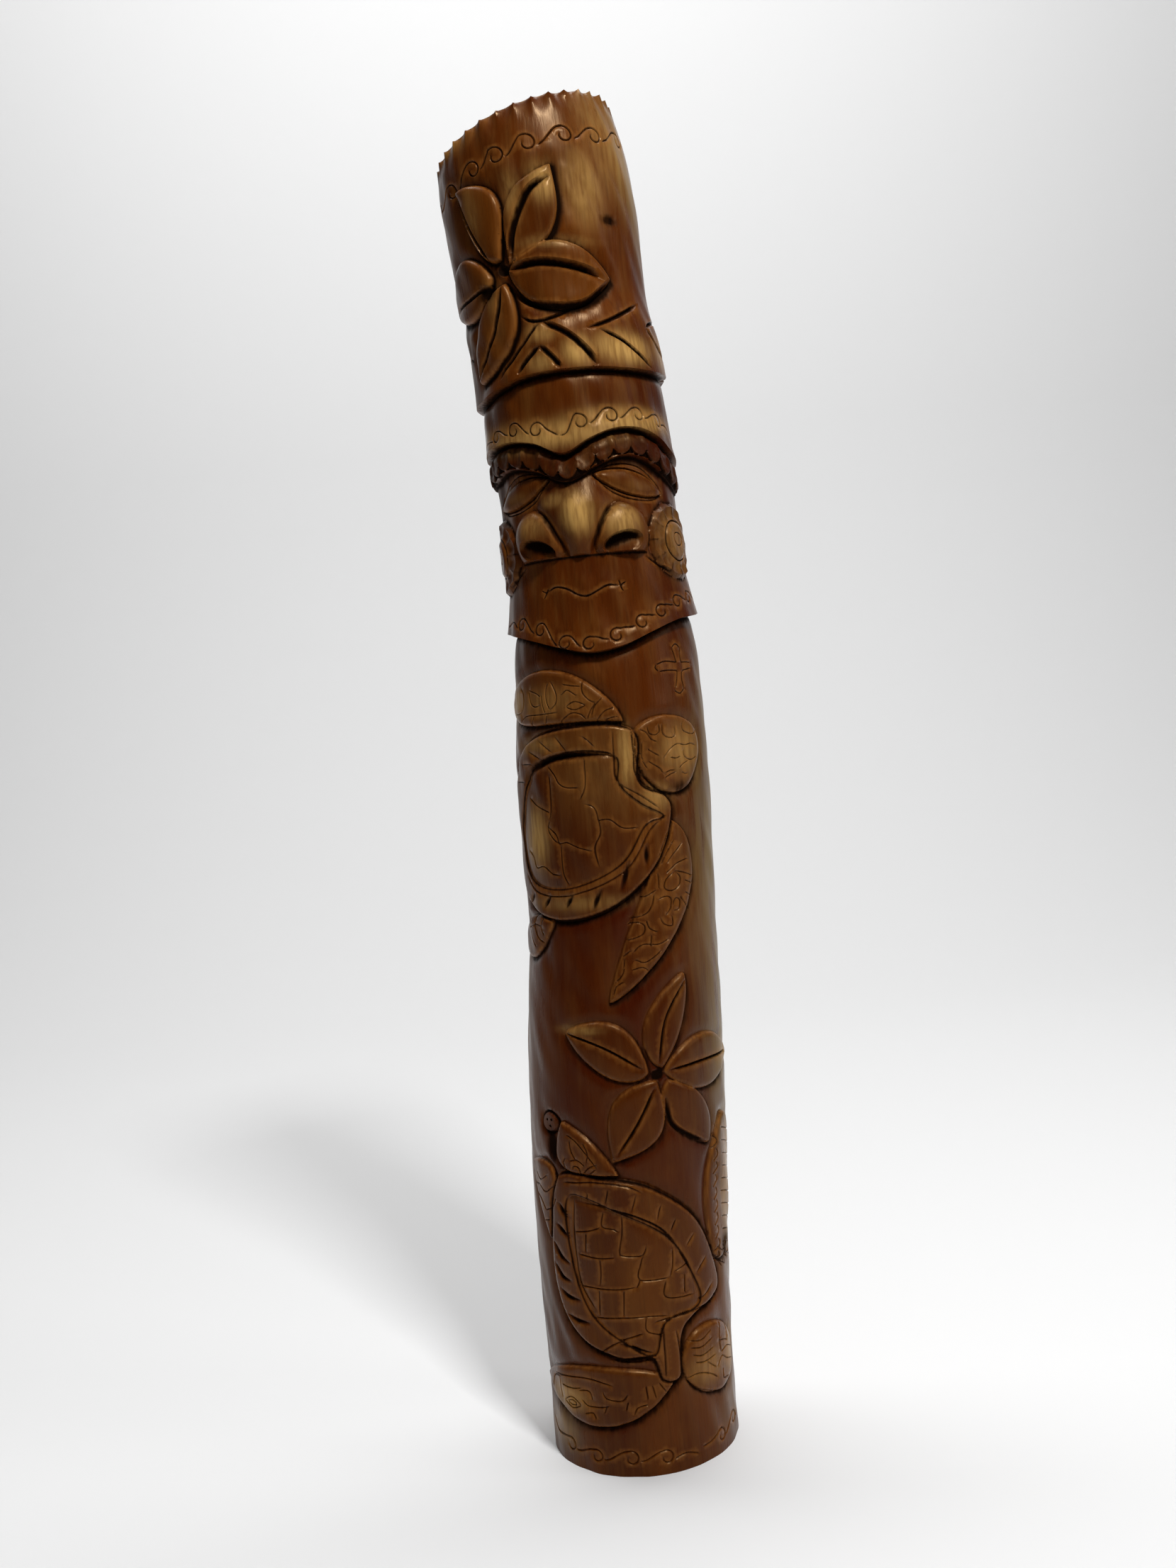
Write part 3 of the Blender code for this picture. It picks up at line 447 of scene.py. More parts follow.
# Soft spots of colour: a middle, how far they reach across and up, and their strength.
RUBBED_SPOTS = (
    (-20, 692, 50, 9, 0.75), (32, 698, 42, 8, 0.8), (-64, 697, 30, 8, 0.35),
    (38, 745, 20, 10, 1.0), (7, 743, 9, 9, 1.0), (-16, 738, 9, 6, 0.5), (-14, 757, 9, 6, 0.55),
    (80, 748, 16, 12, 0.45), (-8, 639, 9, 13, 1.0), (-22, 649, 12, 5, 0.35),
    (18, 632, 11, 11, 0.75), (-40, 634, 11, 9, 0.35), (64, 620, 22, 22, 0.3),
    (3, 852, 8, 13, 0.75), (-16, 845, 6, 16, 0.4), (8, 814, 24, 4, 0.3),
    (28, 848, 13, 24, 0.55), (58, 880, 26, 34, 0.3), (-58, 428, 11, 20, 0.9), (7, 478, 5, 20, 0.7),
    (-5, 470, 30, 34, 0.12), (24, 450, 10, 9, 0.55), (45, 480, 17, 15, 0.5), (-84, 520, 20, 12, 0.8),
    (-45, 518, 26, 10, 0.3), (-55, 490, 24, 6, 0.35), (-30, 384, 40, 5, 0.3), (80, 268, 14, 10, 0.5),
    (-56, 46, 16, 9, 0.8), (46, 62, 16, 12, 0.35), (74, 62, 12, 16, 0.6), (-66, 20, 16, 12, 0.35),
    (80, 180, 12, 44, 0.5), (34, 655, 14, 4, 0.12), (-30, 300, 14, 3, 0.45), (-52, 655, 12, 4, 0.2),
    (-40, 780, 5, 22, 0.2), (-44, 840, 5, 18, 0.25), (-92, 895, 20, 10, 0.6), (-60, 892, 20, 8, 0.4),
)
PALE_SPOTS = (
    (94, 400, 42, 140, 1.0), (94, 290, 38, 100, 1.0), (96, 170, 26, 90, 0.8), (88, 870, 32, 50, 0.9),
    (64, 905, 30, 20, 0.35), (-96, 300, 16, 50, 0.45), (-92, 190, 12, 90, 0.2), (-66, 20, 20, 16, 0.3),
    (72, 24, 20, 18, 0.3),
)
# Red stain; the widest spots also darken the whole lower body, as painted shade.
RED_SPOTS = (
    (28, 520, 46, 34, 1.0), (54, 440, 12, 50, 0.9), (30, 350, 44, 46, 0.7), (-30, 340, 34, 30, 0.35),
    (62, 240, 20, 40, 1.0), (22, 232, 40, 26, 0.8), (18, 268, 16, 14, 0.7), (44, 300, 16, 20, 0.6),
    (-20, 545, 60, 14, 0.6), (30, 150, 16, 40, 0.5), (-38, 140, 4, 50, 0.9), (-20, 50, 30, 14, 0.5),
    (0, 80, 40, 14, 0.5), (-30, 222, 12, 16, 0.9), (70, 800, 26, 22, 0.5), (-66, 664, 14, 8, 0.7),
    (30, 682, 40, 9, 0.7), (-40, 680, 34, 9, 0.5), (-10, 600, 50, 10, 0.2), (44, 590, 30, 14, 0.4),
    (-60, 140, 14, 80, 0.3), (10, 20, 60, 20, 0.45), (-10, 300, 90, 250, 0.9), (0, 60, 100, 60, 0.65),
    (60, 240, 40, 130, 0.95), (70, 560, 30, 40, 0.8),
)
# Dark spots: by the knot, on the flaw, painted shade in the flower hearts, and darker patches, the largest
# down the left side.
DARK_SPOTS = (
    (-53, 219, 4.5, 13, 0.95), (44, 829, 6.5, 3.6, 0.9), (72, 134, 10, 12, 0.7), (-31, 801, 5, 4, 1.0),
    (-44, 788, 8, 6, 0.85), (-84, 745, 18, 40, 0.4), (-96, 640, 20, 60, 0.4), (-90, 110, 18, 60, 0.3),
    (42, 455, 9, 5, 0.6), (88, 330, 6, 4, 0.45), (18, 267, 3.5, 3.5, 0.7),
)


def smooth_through(knots, values, at):
    """Values along a smooth line through the knots, which rise in order."""
    knots = np.asarray(knots, float)
    values = np.asarray(values, float)
    slopes = np.gradient(values, knots)
    low = np.clip(np.searchsorted(knots, at) - 1, 0, len(knots) - 2)
    span = knots[low + 1] - knots[low]
    t = np.clip((at - knots[low]) / span, 0, 1)
    rise = t * t * (3 - 2 * t)
    leave = t * (1 - t) ** 2 * span * slopes[low]
    arrive = t * t * (t - 1) * span * slopes[low + 1]
    return values[low] * (1 - rise) + values[low + 1] * rise + leave + arrive


def ring_height(ring, across):
    """Height of a ring that closes on itself, at each place round the log."""
    points = np.array(ring, float)
    places = np.concatenate([points[:, 0] - AROUND, points[:, 0], points[:, 0] + AROUND])
    return smooth_through(places, np.tile(points[:, 1], 3), across)


def curve(points, spacing=2.0, closed=False):
    """Points along the smooth curve through the given ones."""
    knots = np.array(points, float)
    if closed:
        knots = np.vstack([knots[-1:], knots, knots[:2]])
    else:
        knots = np.vstack([2 * knots[0] - knots[1], knots, 2 * knots[-1] - knots[-2]])
    traced = []
    for before, start, end, after in zip(knots, knots[1:], knots[2:], knots[3:]):
        steps = max(2, int(np.hypot(*(end - start)) / spacing))
        t = np.linspace(0, 1, steps, endpoint=False)[:, None]
        bend = (2 * before - 5 * start + 4 * end - after) * t**2
        twist = (3 * start - before - 3 * end + after) * t**3
        traced.append(start + 0.5 * ((end - before) * t + bend + twist))
    if not closed:
        traced.append(knots[-2:-1])
    return np.vstack(traced)


def loop_of(points):
    """A closed outline with no repeated end point."""
    return curve(points, closed=True)


def leaf(base, tip, left, right, left_widest, right_widest, blunt):
    """The closed outline of a leaf shape, from its base to its tip and back."""
    base, tip = np.array(base, float), np.array(tip, float)
    length = np.hypot(*(tip - base))
    beside = np.array([base[1] - tip[1], tip[0] - base[0]]) / length
    share = 0.5 - 0.5 * np.cos(np.linspace(0, np.pi, 25))
    edges = []
    for swell, widest in ((left, left_widest), (-right, right_widest)):
        turn = np.pi * share ** (np.log(0.5) / np.log(widest))
        bulge = swell * np.clip(np.sin(turn), 0, 1) ** blunt
        edges.append(base + share[:, None] * (tip - base) + bulge[:, None] * beside)
    return np.vstack([edges[0], edges[1][-2:0:-1]])


def closed(outline):
    return np.vstack([outline, outline[:1]])


def oval(middle, radii, tilt):
    """A closed oval, turned anticlockwise by the tilt in degrees."""
    angle = np.linspace(0, 2 * np.pi, 49)
    turn = np.radians(tilt)
    along, beside = radii[0] * np.cos(angle), radii[1] * np.sin(angle)
    x = middle[0] + along * np.cos(turn) - beside * np.sin(turn)
    y = middle[1] + along * np.sin(turn) + beside * np.cos(turn)
    return np.stack([x, y], axis=1)


def evenly(path, spacing):
    """Points along the path at an even spacing."""
    lengths = np.hypot(*np.diff(path, axis=0).T)
    runs = np.concatenate([[0], np.cumsum(lengths)])
    at = np.linspace(0, runs[-1], max(1, round(runs[-1] / spacing)) + 1)
    return np.stack([np.interp(at, runs, path[:, 0]), np.interp(at, runs, path[:, 1])], axis=1)


def shifted(path, distance):
    """The path moved sideways, to its left where the distance is positive."""
    ahead = np.gradient(path, axis=0)
    ahead /= np.maximum(np.hypot(*ahead.T), 1e-9)[:, None]
    return path + distance * np.stack([-ahead[:, 1], ahead[:, 0]], axis=1)


def falloff(distance, reach):
    """One at no distance, easing to nothing at the reach."""
    return np.clip(1 - distance / reach, 0, 1) ** 2


def smooth_step(x, low, high):
    t = np.clip((x - low) / (high - low), 0, 1)
    return t * t * (3 - 2 * t)


def path_distance(across, up, path):
    """Distance from each point to the path, and the share of the path's length at the nearest place."""
    runs = np.diff(path, axis=0)
    lengths = np.hypot(runs[:, 0], runs[:, 1])
    starts = np.concatenate([[0], np.cumsum(lengths)[:-1]])
    nearest = np.full(across.shape, np.inf)
    share = np.zeros(across.shape)
    for corner, run, length, begun in zip(path, runs, lengths, starts):
        if length == 0:
            continue
        t = ((across - corner[0]) * run[0] + (up - corner[1]) * run[1]) / length**2
        t = np.clip(t, 0, 1)
        away = np.hypot(across - corner[0] - t * run[0], up - corner[1] - t * run[1])
        closer = away < nearest
        nearest = np.where(closer, away, nearest)
        share = np.where(closer, (begun + t * length) / lengths.sum(), share)
    return nearest, share


def is_inside(across, up, outline):
    """Whether each point lies within the closed outline."""
    within = np.zeros(across.shape, bool)
    for start, end in zip(outline, np.roll(outline, -1, axis=0)):
        if start[1] == end[1]:
            continue
        spans = (start[1] > up) != (end[1] > up)
        crossing = start[0] + (up - start[1]) * (end[0] - start[0]) / (end[1] - start[1])
        within ^= spans & (across < crossing)
    return within


class Carving:
    """Relief, stain, painted shade and painted highlights over points of the unrolled surface.

    form stands proud or is scooped, ground is the wood cut back round the motifs, and cut is the depth
    of V cuts and holes. The darkening is dark stain together with painted shade in cuts, corners and under
    lips, the brightening is wear together with painted highlights along edges, and motif is one on the
    carved figures.
    lines are the paths that the mesh follows, each with the distances beside it that also have points.
    """

    def __init__(self, across, up):
        self.across, self.up = across, up
        self.form = np.zeros(across.shape)
        self.ground = np.zeros(across.shape)
        self.cut = np.zeros(across.shape)
        self.dark_stain_and_shade = np.zeros(across.shape)
        self.wear_and_highlight = np.zeros(across.shape)
        self.motif = np.zeros(across.shape)
        self.lines = []

    def follow(self, path, *beside):
        self.lines.append((path, beside))

    def near(self, path, reach):
        """Indices of the points in the path's surroundings, and their places."""
        low, high = path.min(axis=0) - reach, path.max(axis=0) + reach
        wide = (self.across > low[0]) & (self.across < high[0])
        found = np.nonzero(wide & (self.up > low[1]) & (self.up < high[1]))[0]
        return found, self.across[found], self.up[found]

    def add_stain_and_shade(self, strength, found=slice(None)):
        self.dark_stain_and_shade[found] = np.maximum(self.dark_stain_and_shade[found], strength)

    def add_wear_and_highlight(self, strength, found):
        self.wear_and_highlight[found] = np.maximum(self.wear_and_highlight[found], strength)

    def groove(self, path, width, depth, taper=0.18, stain_and_shade_strength=1.0):
        """A V cut along the path that runs out to nothing at its ends."""
        half = width / 2
        self.follow(path, 0, half, -half, *((0.5 * half, -0.5 * half) if width > WIDE_CUT else ()))
        found, across, up = self.near(path, width)
        away, share = path_distance(across, up, path)
        fade = np.clip(np.minimum(share, 1 - share) / taper, 0, 1) ** 0.6
        reach = half * (0.4 + 0.6 * fade)
        self.cut[found] = np.maximum(self.cut[found], depth * fade * np.clip(1 - away / reach, 0, 1))
        # Dark stain and painted shade down the cut, and wear with a painted highlight along its edges.
        self.add_stain_and_shade(stain_and_shade_strength * fade * smooth_step(away, reach * 1.05, reach * 0.2), found)
        self.add_wear_and_highlight(CUT_WEAR_AND_HIGHLIGHT * fade * np.clip(1 - np.abs(away - half) / WEAR_AND_HIGHLIGHT_EDGE, 0, 1), found)

    def lower_ground(self, outlines, depth, apron, stain_and_shade_strength):
        """Cuts the ground back round the outlines, deepest close against them."""
        loops = [closed(outline) for outline in outlines]
        for loop in loops:
            self.follow(loop, 0, WALL, -WALL, 3.0, -3.0)
            found, across, up = self.near(loop, WALL + apron)
            away, _ = path_distance(across, up, loop)
            free = np.ones(across.shape, bool)
            edge = away
            for other in loops:
                free &= ~is_inside(across, up, other)
                edge = np.minimum(edge, path_distance(across, up, other)[0])
            slope = np.clip(edge / WALL, 0, 1) * falloff(np.maximum(away - WALL, 0), apron)
            self.ground[found] = np.minimum(self.ground[found], np.where(free, -depth * slope, 0))
            # Painted shadow round the outlines, shifted below and to the right of them.
            under, _ = path_distance(across, up, loop + SHADOW_SIDE)
            painted_shadow = falloff(np.maximum(under - SHADOW_START, 0), 0.5 * apron)
            painted_shadow = smooth_step(edge, 0, SHADOW_START) * painted_shadow
            self.add_stain_and_shade(np.where(free, stain_and_shade_strength * painted_shadow, 0), found)
            # Wear and a painted highlight along the figures' edges.
            self.add_wear_and_highlight(FIGURE_WEAR_AND_HIGHLIGHT * np.clip(1 - away / (1.5 * WEAR_AND_HIGHLIGHT_EDGE), 0, 1), found)

    def crown(self, outlines, height, width, ribs=()):
        """Rounds the wood within the outlines, rising from their edges and from the ribs over the width."""
        swell = np.zeros(self.form.shape)
        for outline in outlines:
            found, across, up = self.near(outline, 0.5)
            away, _ = path_distance(across, up, closed(outline))
            within = is_inside(across, up, outline)
            figure = np.where(within, np.clip(away / FIGURE_EDGE, 0, 1), 0)
            self.motif[found] = np.maximum(self.motif[found], figure)
            for rib in ribs:
                away = np.minimum(away, path_distance(across, up, rib)[0] + 0.12 * width)
            rise = np.sqrt(1 - (1 - np.clip(away / width, 0, 1)) ** 2)
            swell[found] = np.maximum(swell[found], np.where(within, rise, 0))
        self.form += height * swell

    def hole(self, middle, radius, depth):
        """A round hollow."""
        self.follow(oval(middle, (radius, radius), 0), 0, 0.4 * radius)
        away = np.hypot(self.across - middle[0], self.up - middle[1])
        hollow = np.clip(1 - (away / radius) ** 2, 0, 1)
        self.cut = np.maximum(self.cut, depth * hollow)
        # Painted shade in the hollow.
        self.add_stain_and_shade(np.clip(hollow * 1.5, 0, 1))


def lip(up, edge, proud, rise, sunk, drop, notch):
    """A lip round the log: wood swells to proud just above the edge and is cut back to sunk below it.

    The cut is deeper still by notch in the corner right under the lip.
    """
    over = up - edge
    wall = np.clip(1 + over / WALL, 0, 1)
    above = proud * falloff(np.maximum(over, 0), rise)
    under = np.maximum(-over - WALL, 0)
    below = sunk * falloff(under, drop) + notch * falloff(under, NOTCH_WIDTH)
    return wall * above - (1 - wall) * below


def shadow_under_lip(up, edge, reach):
    """Painted shadow in the corner below a lip."""
    under = edge - up
    return smooth_step(under, -0.1, WALL) * falloff(np.maximum(under - WALL, 0), reach) ** 0.6


def ring_path(height_at):
    """A ring as a path from the back round the front to the back again."""
    across = np.linspace(-AROUND / 2, AROUND / 2, 361)
    return np.stack([across, height_at(across)], axis=1)


def carve_rings(carving):
    """The belt, the forehead band, the brows and the chin skirt, which run round the log."""
    across, up = carving.across, carving.up
    front = 1 - smooth_step(np.abs(across - FACE_MIDDLE), FRONT_ENDS, BACK_STARTS)
    for ring in (BELT_EDGE, BROW_LIP, BROW_FOOT, CHIN_EDGE):
        carving.follow(ring_path(lambda at: ring_height(ring, at)), *RING_LINES)
    belt = ring_height(BELT_EDGE, across)
    brow_lip = ring_height(BROW_LIP, across)
    brow_foot = ring_height(BROW_FOOT, across)
    chin = ring_height(CHIN_EDGE, across)

    carving.form += lip(up, belt, proud=3.0, rise=42, sunk=2.2, drop=14, notch=1.8 * front)
    sunk = 2.6 * (0.4 + 0.6 * front)
    brow = lip(up, brow_lip, proud=2.4, rise=30, sunk=sunk, drop=8.0, notch=2.6 * front)
    carving.form += np.where(up > brow_foot - WALL, brow, 0)
    carving.form += lip(up, chin, proud=3.6, rise=36, sunk=2.6, drop=30, notch=1.4 * front)

    ridge_share = np.clip((up - brow_foot) / (brow_lip - brow_foot - BROW_GAP), 0, 1)
    carving.form += BROW_RIDGE * front * np.sin(np.pi * ridge_share) ** 0.5
    carve_brow_scales(carving, ridge_share, front)

    # The face is cut back under the brows, deepest beside the bridge, and runs out over the mouth.
    under_brow = np.clip((brow_foot - up) / WALL, 0, 1)
    face = 1 - smooth_step(np.abs(across - FACE_MIDDLE), 55, 88)
    above_nose_foot = smooth_step(up, NOSE_FOOT, NOSE_FOOT + WALL)
    depth = 2.0 + (0.4 + 3.0 * face) * above_nose_foot * smooth_step(up - brow_foot, -40, 0)
    fade = smooth_step(up, 585, NOSE_FOOT)
    carving.form -= under_brow * depth * fade * (0.3 + 0.7 * front)

    # Painted shadow below each lip, stronger on the front.
    shade = 0.35 + 0.65 * front
    for edge, reach in ((belt, 7.0), (brow_lip, 6.5), (brow_foot, 5.0), (chin, 7.0)):
        carving.add_stain_and_shade(shade * shadow_under_lip(up, edge, reach))


def scale_bottom(across):
    """How far up the brow ridge the round lower ends of its scales lie, as a share, and the place in one."""
    from_middle = (across - FACE_MIDDLE) / BROW_SCALE_PITCH
    beside = 2 * np.abs(from_middle - np.round(from_middle))
    return 0.06 + 0.42 * (1 - np.sqrt(np.clip(1 - beside**2, 0, 1))), beside


def carve_brow_scales(carving, share, front):
    """A row of scales gouged along the brows, with dark notches between their round lower ends."""
    def edge_height(across):
        low, high = ring_height(BROW_FOOT, across), ring_height(BROW_LIP, across)
        return low + scale_bottom(across)[0] * (high - low - BROW_GAP)
    carving.follow(ring_path(edge_height)[60:270], 0.8, 0, -0.7)
    bottom, beside = scale_bottom(carving.across)
    over = share - bottom
    on_ridge = (share > 0) & (share < 1)
    scoop = smooth_step(over, 0.08, 0.34) * smooth_step(1 - beside, 0.08, 0.5)
    notch = smooth_step(-over, 0.0, 0.06)
    carving.form -= np.where(on_ridge, front * (1.3 * scoop + 1.8 * notch), 0)
    # Painted shade in the notches between the scales, and the whole ridge darker.
    carving.add_stain_and_shade(np.where(on_ridge, front * np.maximum(notch, 0.42), 0))


def bump(carving, middle, radii, height, power=0.6):
    """How far a rounded swelling rises at each point of the carving."""
    along = (carving.across - middle[0]) / radii[0]
    beside = (carving.up - middle[1]) / radii[1]
    return height * np.clip(1 - along**2 - beside**2, 0, 1) ** power


def carve_nose(carving):
    """A pointed bridge between two flared wings, each with a nostril scooped out under its arch."""
    across, up = carving.across, carving.up
    above_foot = np.clip((up - NOSE_FOOT) / WALL, 0, 1)
    half_width = np.clip(7 + (up - NOSE_FOOT) * 0.6, 5, 27)
    heights, proud = np.array(NOSE_RIDGE).T
    ridge = smooth_through(heights, proud, up)
    from_middle = np.abs(across - FACE_MIDDLE)
    nose = ridge * np.clip(1 - (from_middle / half_width) ** 1.4, 0, 1)
    for side in (-1, 1):
        wing = (FACE_MIDDLE + side * WING_OFFSET, WING_HEIGHT)
        nose = np.maximum(nose, bump(carving, wing, WING_RADII, WING_PROUD))
        nostril = (FACE_MIDDLE + side * NOSTRIL_OFFSET, NOSTRIL_HEIGHT)
        turn = np.radians(side * NOSTRIL_TILT)
        x, y = across - nostril[0], up - nostril[1]
        along = (x * np.cos(turn) + y * np.sin(turn)) / NOSTRIL_RADII[0]
        beside = (y * np.cos(turn) - x * np.sin(turn)) / NOSTRIL_RADII[1]
        rim = np.clip((1 - along**2 - beside**2) / 0.35, 0, 1)
        scoop = np.clip(rim * (4.2 + 3.4 * beside), 0, None) * above_foot
        carving.cut = np.maximum(carving.cut, scoop)
        # Painted shade in the nostril, darkest under its arch.
        carving.add_stain_and_shade(above_foot * rim * smooth_step(beside, -0.45, 0.35))
        carving.follow(oval(nostril, NOSTRIL_RADII, side * NOSTRIL_TILT), 0, 0.9, 1.8)
        fold = [(FACE_MIDDLE + side * x, y) for x, y in NOSE_FOLD]
        carving.groove(curve(fold), width=4.5, depth=2.8, taper=0.3, stain_and_shade_strength=0.8)
    carving.form += above_foot * nose
    foot = ((FACE_MIDDLE - NOSE_REACH, NOSE_FOOT), (FACE_MIDDLE + NOSE_REACH, NOSE_FOOT))
    carving.follow(np.array(foot), 3.2, WALL, 0, -1.6, -3.2)
    within = from_middle < NOSE_REACH
    # Painted shadow under the nose's foot.
    carving.add_stain_and_shade(np.where(within, shadow_under_lip(up, NOSE_FOOT + WALL, 2.6), 0))


def carve_eyes(carving):
    """Almond eyes between their lids, each with its inner corner high and its outer corner low."""
    for side in (-1, 1):
        middle = FACE_MIDDLE + side * EYE_OFFSET
        inner = (middle - side * EYE_LENGTH / 2, EYE_HEIGHT + EYE_SLANT / 2)
        outer = (middle + side * EYE_LENGTH / 2, EYE_HEIGHT - EYE_SLANT / 2)
        swell = (EYE_UPPER, EYE_LOWER) if side == 1 else (EYE_LOWER, EYE_UPPER)
        eye = leaf(inner, outer, *swell, 0.5, 0.5, POINTED)
        carving.crown([eye], height=3.4, width=8.0)
        carving.groove(closed(eye), width=2.0, depth=1.2, taper=0.01, stain_and_shade_strength=0.75)
        for lid in (LID_UPPER, LID_LOWER):
            line = [(middle + side * x, EYE_HEIGHT + y) for x, y in lid]
            carving.groove(curve(line), width=1.8, depth=0.9, stain_and_shade_strength=0.75)


def carve_ears(carving):
    """Round ear ornaments: a ring of gouged petals round a button."""
    for side in (-1, 1):
        middle = (FACE_MIDDLE + side * EAR_OFFSET, EAR_HEIGHT)
        x, y = carving.across - middle[0], carving.up - middle[1]
        out = np.hypot(x, y)
        petals = np.abs(np.sin(EAR_PETALS / 2 * np.arctan2(y, x)))
        edge = EAR_RADIUS - 0.5 * (1 - petals)
        disc = 3.6 * smooth_step(edge - out, 0, 3.0)
        button = 1.6 * smooth_step(EAR_BUTTON - out, 0, 1.5)
        scoop = 1.7 * petals * smooth_step(out, EAR_BUTTON + 1, EAR_BUTTON + 5)
        scoop *= smooth_step(edge - out, 1, 5)
        ear = disc + button - np.where(out < EAR_RADIUS, scoop, 0)
        carving.form += np.clip(ear, 0, None)
        round_path = oval(middle, (EAR_RADIUS, EAR_RADIUS), 0)
        carving.follow(round_path, -1.2, 0, 1.5, 3, 5)
        # Painted shadow round the ear's edge.
        carving.add_stain_and_shade(0.85 * np.where(out > edge, falloff(out - edge, 6), 0))
        # Painted shade in the creases between the petals.
        creases = (1 - petals) ** 4 * smooth_step(out, EAR_BUTTON, EAR_BUTTON + 3)
        carving.add_stain_and_shade(0.7 * creases * smooth_step(EAR_RADIUS - out, 0, 2))
        ring = oval(middle, (EAR_BUTTON + 0.5, EAR_BUTTON + 0.5), 0)
        pupil = oval((middle[0], middle[1] + 1), PUPIL_RADII, 0)
        carving.groove(ring, width=2.0, depth=1.2, taper=0.001)
        carving.groove(pupil, width=1.5, depth=0.8, taper=0.001, stain_and_shade_strength=0.8)


def carve_flower(carving, petals, holes, cuts, crown_height, ground_depth, apron, stain_and_shade_strength):
    """Petals that overlap nowhere, each crowned on its own, with the ground cut back round them."""
    outlines = [leaf(*petal) for petal in petals]
    ribs = [curve(points) for points, _, _ in cuts]
    carving.lower_ground(outlines, ground_depth, apron, stain_and_shade_strength)
    carving.crown(outlines, crown_height, width=5.0, ribs=ribs)
    for rib, (_, width, depth) in zip(ribs, cuts):
        carving.groove(rib, width, depth)
    for x, y, radius, depth in holes:
        carving.hole((x, y), radius, depth)


def carve_turtle(carving, limbs, shell, plates, ground_depth, skin):
    """A shell whose field of plates lies sunk inside its rim, over limbs parted from it by a V cut."""
    limb_shapes = [leaf(*limb) for limb in limbs]
    rim, field = loop_of(shell), loop_of(plates)
    carving.lower_ground(limb_shapes + [rim], ground_depth, apron=9.0, stain_and_shade_strength=0.8)
    carving.crown(limb_shapes + [rim], height=1.3, width=5.0)
    for line in skin:
        carving.groove(curve(line), width=1.5, depth=0.75, taper=0.08, stain_and_shade_strength=0.6)
    carving.groove(closed(rim), width=3.0, depth=1.3, taper=0.01, stain_and_shade_strength=0.9)
    carving.crown([field], height=-2.2, width=1.4)
    carving.crown([field], height=2.4, width=26.0)
    carving.groove(closed(field), width=2.2, depth=0.5, taper=0.01, stain_and_shade_strength=0.8)


def running_wave(entry, scrolls, leaving):
    """The paths of a line of scrolls: each rises over its scroll and curls inwards.

    A scroll's path sets out from the side of the one before it and climbs to its own crest in a slight S.
    """
    paths = []
    approach = [tuple(point) for point in entry]
    for x, y, radius, way in scrolls:
        turn = np.linspace(0, 1, 12)
        angle = np.pi * (0.5 + way * CURL_START) - way * turn * CURL_TURNS * np.pi
        reach = radius * (1 - CURL_SHRINK * turn)
        curl = [(x + r * math.cos(a), y + r * math.sin(a)) for r, a in zip(reach, angle)]
        if paths:
            start = approach[0]
            climb = (curl[0][0] - start[0], curl[0][1] - start[1])
            for share, above in WAVE_CLIMB:
                bend = above * math.hypot(*climb)
                approach.append((start[0] + share * climb[0], start[1] + share * climb[1] + bend))
        paths.append(curve(approach + curl, spacing=1.0))
        approach = [(x + way * radius * WAVE_SIDE, y - radius * WAVE_DROP)]
    paths.append(curve(approach + [tuple(point) for point in leaving], spacing=1.0))
    return paths


def side_scales():
    """Rows of small scales up the flipper on the right side, with a long stroke beside each."""
    for number in range(SIDE_SCALES):
        low = SIDE_SCALE_START + number * SIDE_SCALE_PITCH
        yield (56.5, low), (61.5, low + 4), (59.5, low + 8.5)
        yield (66.5, low + 3), (78, low - 1), (91, low - 7)


def carve_lines(carving):
    """All the shallow lines but the turtles' skin."""
    for entry, scrolls, leaving in WAVE_BORDERS:
        for path in running_wave(entry, scrolls, leaving):
            stain_and_shade_strength = 0.45 if path[:, 1].max() < FAINT_BELOW else 0.8
            carving.groove(path, WAVE_WIDTH, WAVE_DEPTH, taper=0.05, stain_and_shade_strength=stain_and_shade_strength)
    for lines, width, depth, taper, stain_and_shade_strength in LINE_KINDS:
        for line in lines:
            carving.groove(curve(line), width, depth, taper, stain_and_shade_strength)
    for points, width, depth in CRESCENTS:
        carving.groove(curve(points), width, depth, taper=0.4)


def carve_knots(carving):
    """The round side knot with its dark ring, and a small torn flaw."""
    carving.follow(oval(KNOT, (KNOT_RADIUS, KNOT_RADIUS), 0), -2.4, -0.8, 0.8, 2.4)
    out = np.hypot(carving.across - KNOT[0], carving.up - KNOT[1])
    carving.form += 1.2 * smooth_step(out, KNOT_RADIUS + 1.5, KNOT_RADIUS - 1.5)
    ring = np.clip(1 - np.abs(out - KNOT_RADIUS - 0.8) / 1.6, 0, 1)
    carving.cut = np.maximum(carving.cut, 1.5 * ring)
    carving.add_stain_and_shade(ring)
    for x, y in KNOT_DIMPLES:
        carving.hole((KNOT[0] + x, KNOT[1] + y), radius=1.1, depth=0.9)
    carving.follow(oval(FLAW, FLAW_RADII, -8), 0, 1.2)
    x = np.abs(carving.across - FLAW[0]) / FLAW_RADII[0]
    y = np.abs(carving.up - FLAW[1]) / FLAW_RADII[1]
    dent = np.clip(1.25 - np.maximum(x, y) ** 3, 0, 1)
    carving.cut = np.maximum(carving.cut, 0.9 * dent)


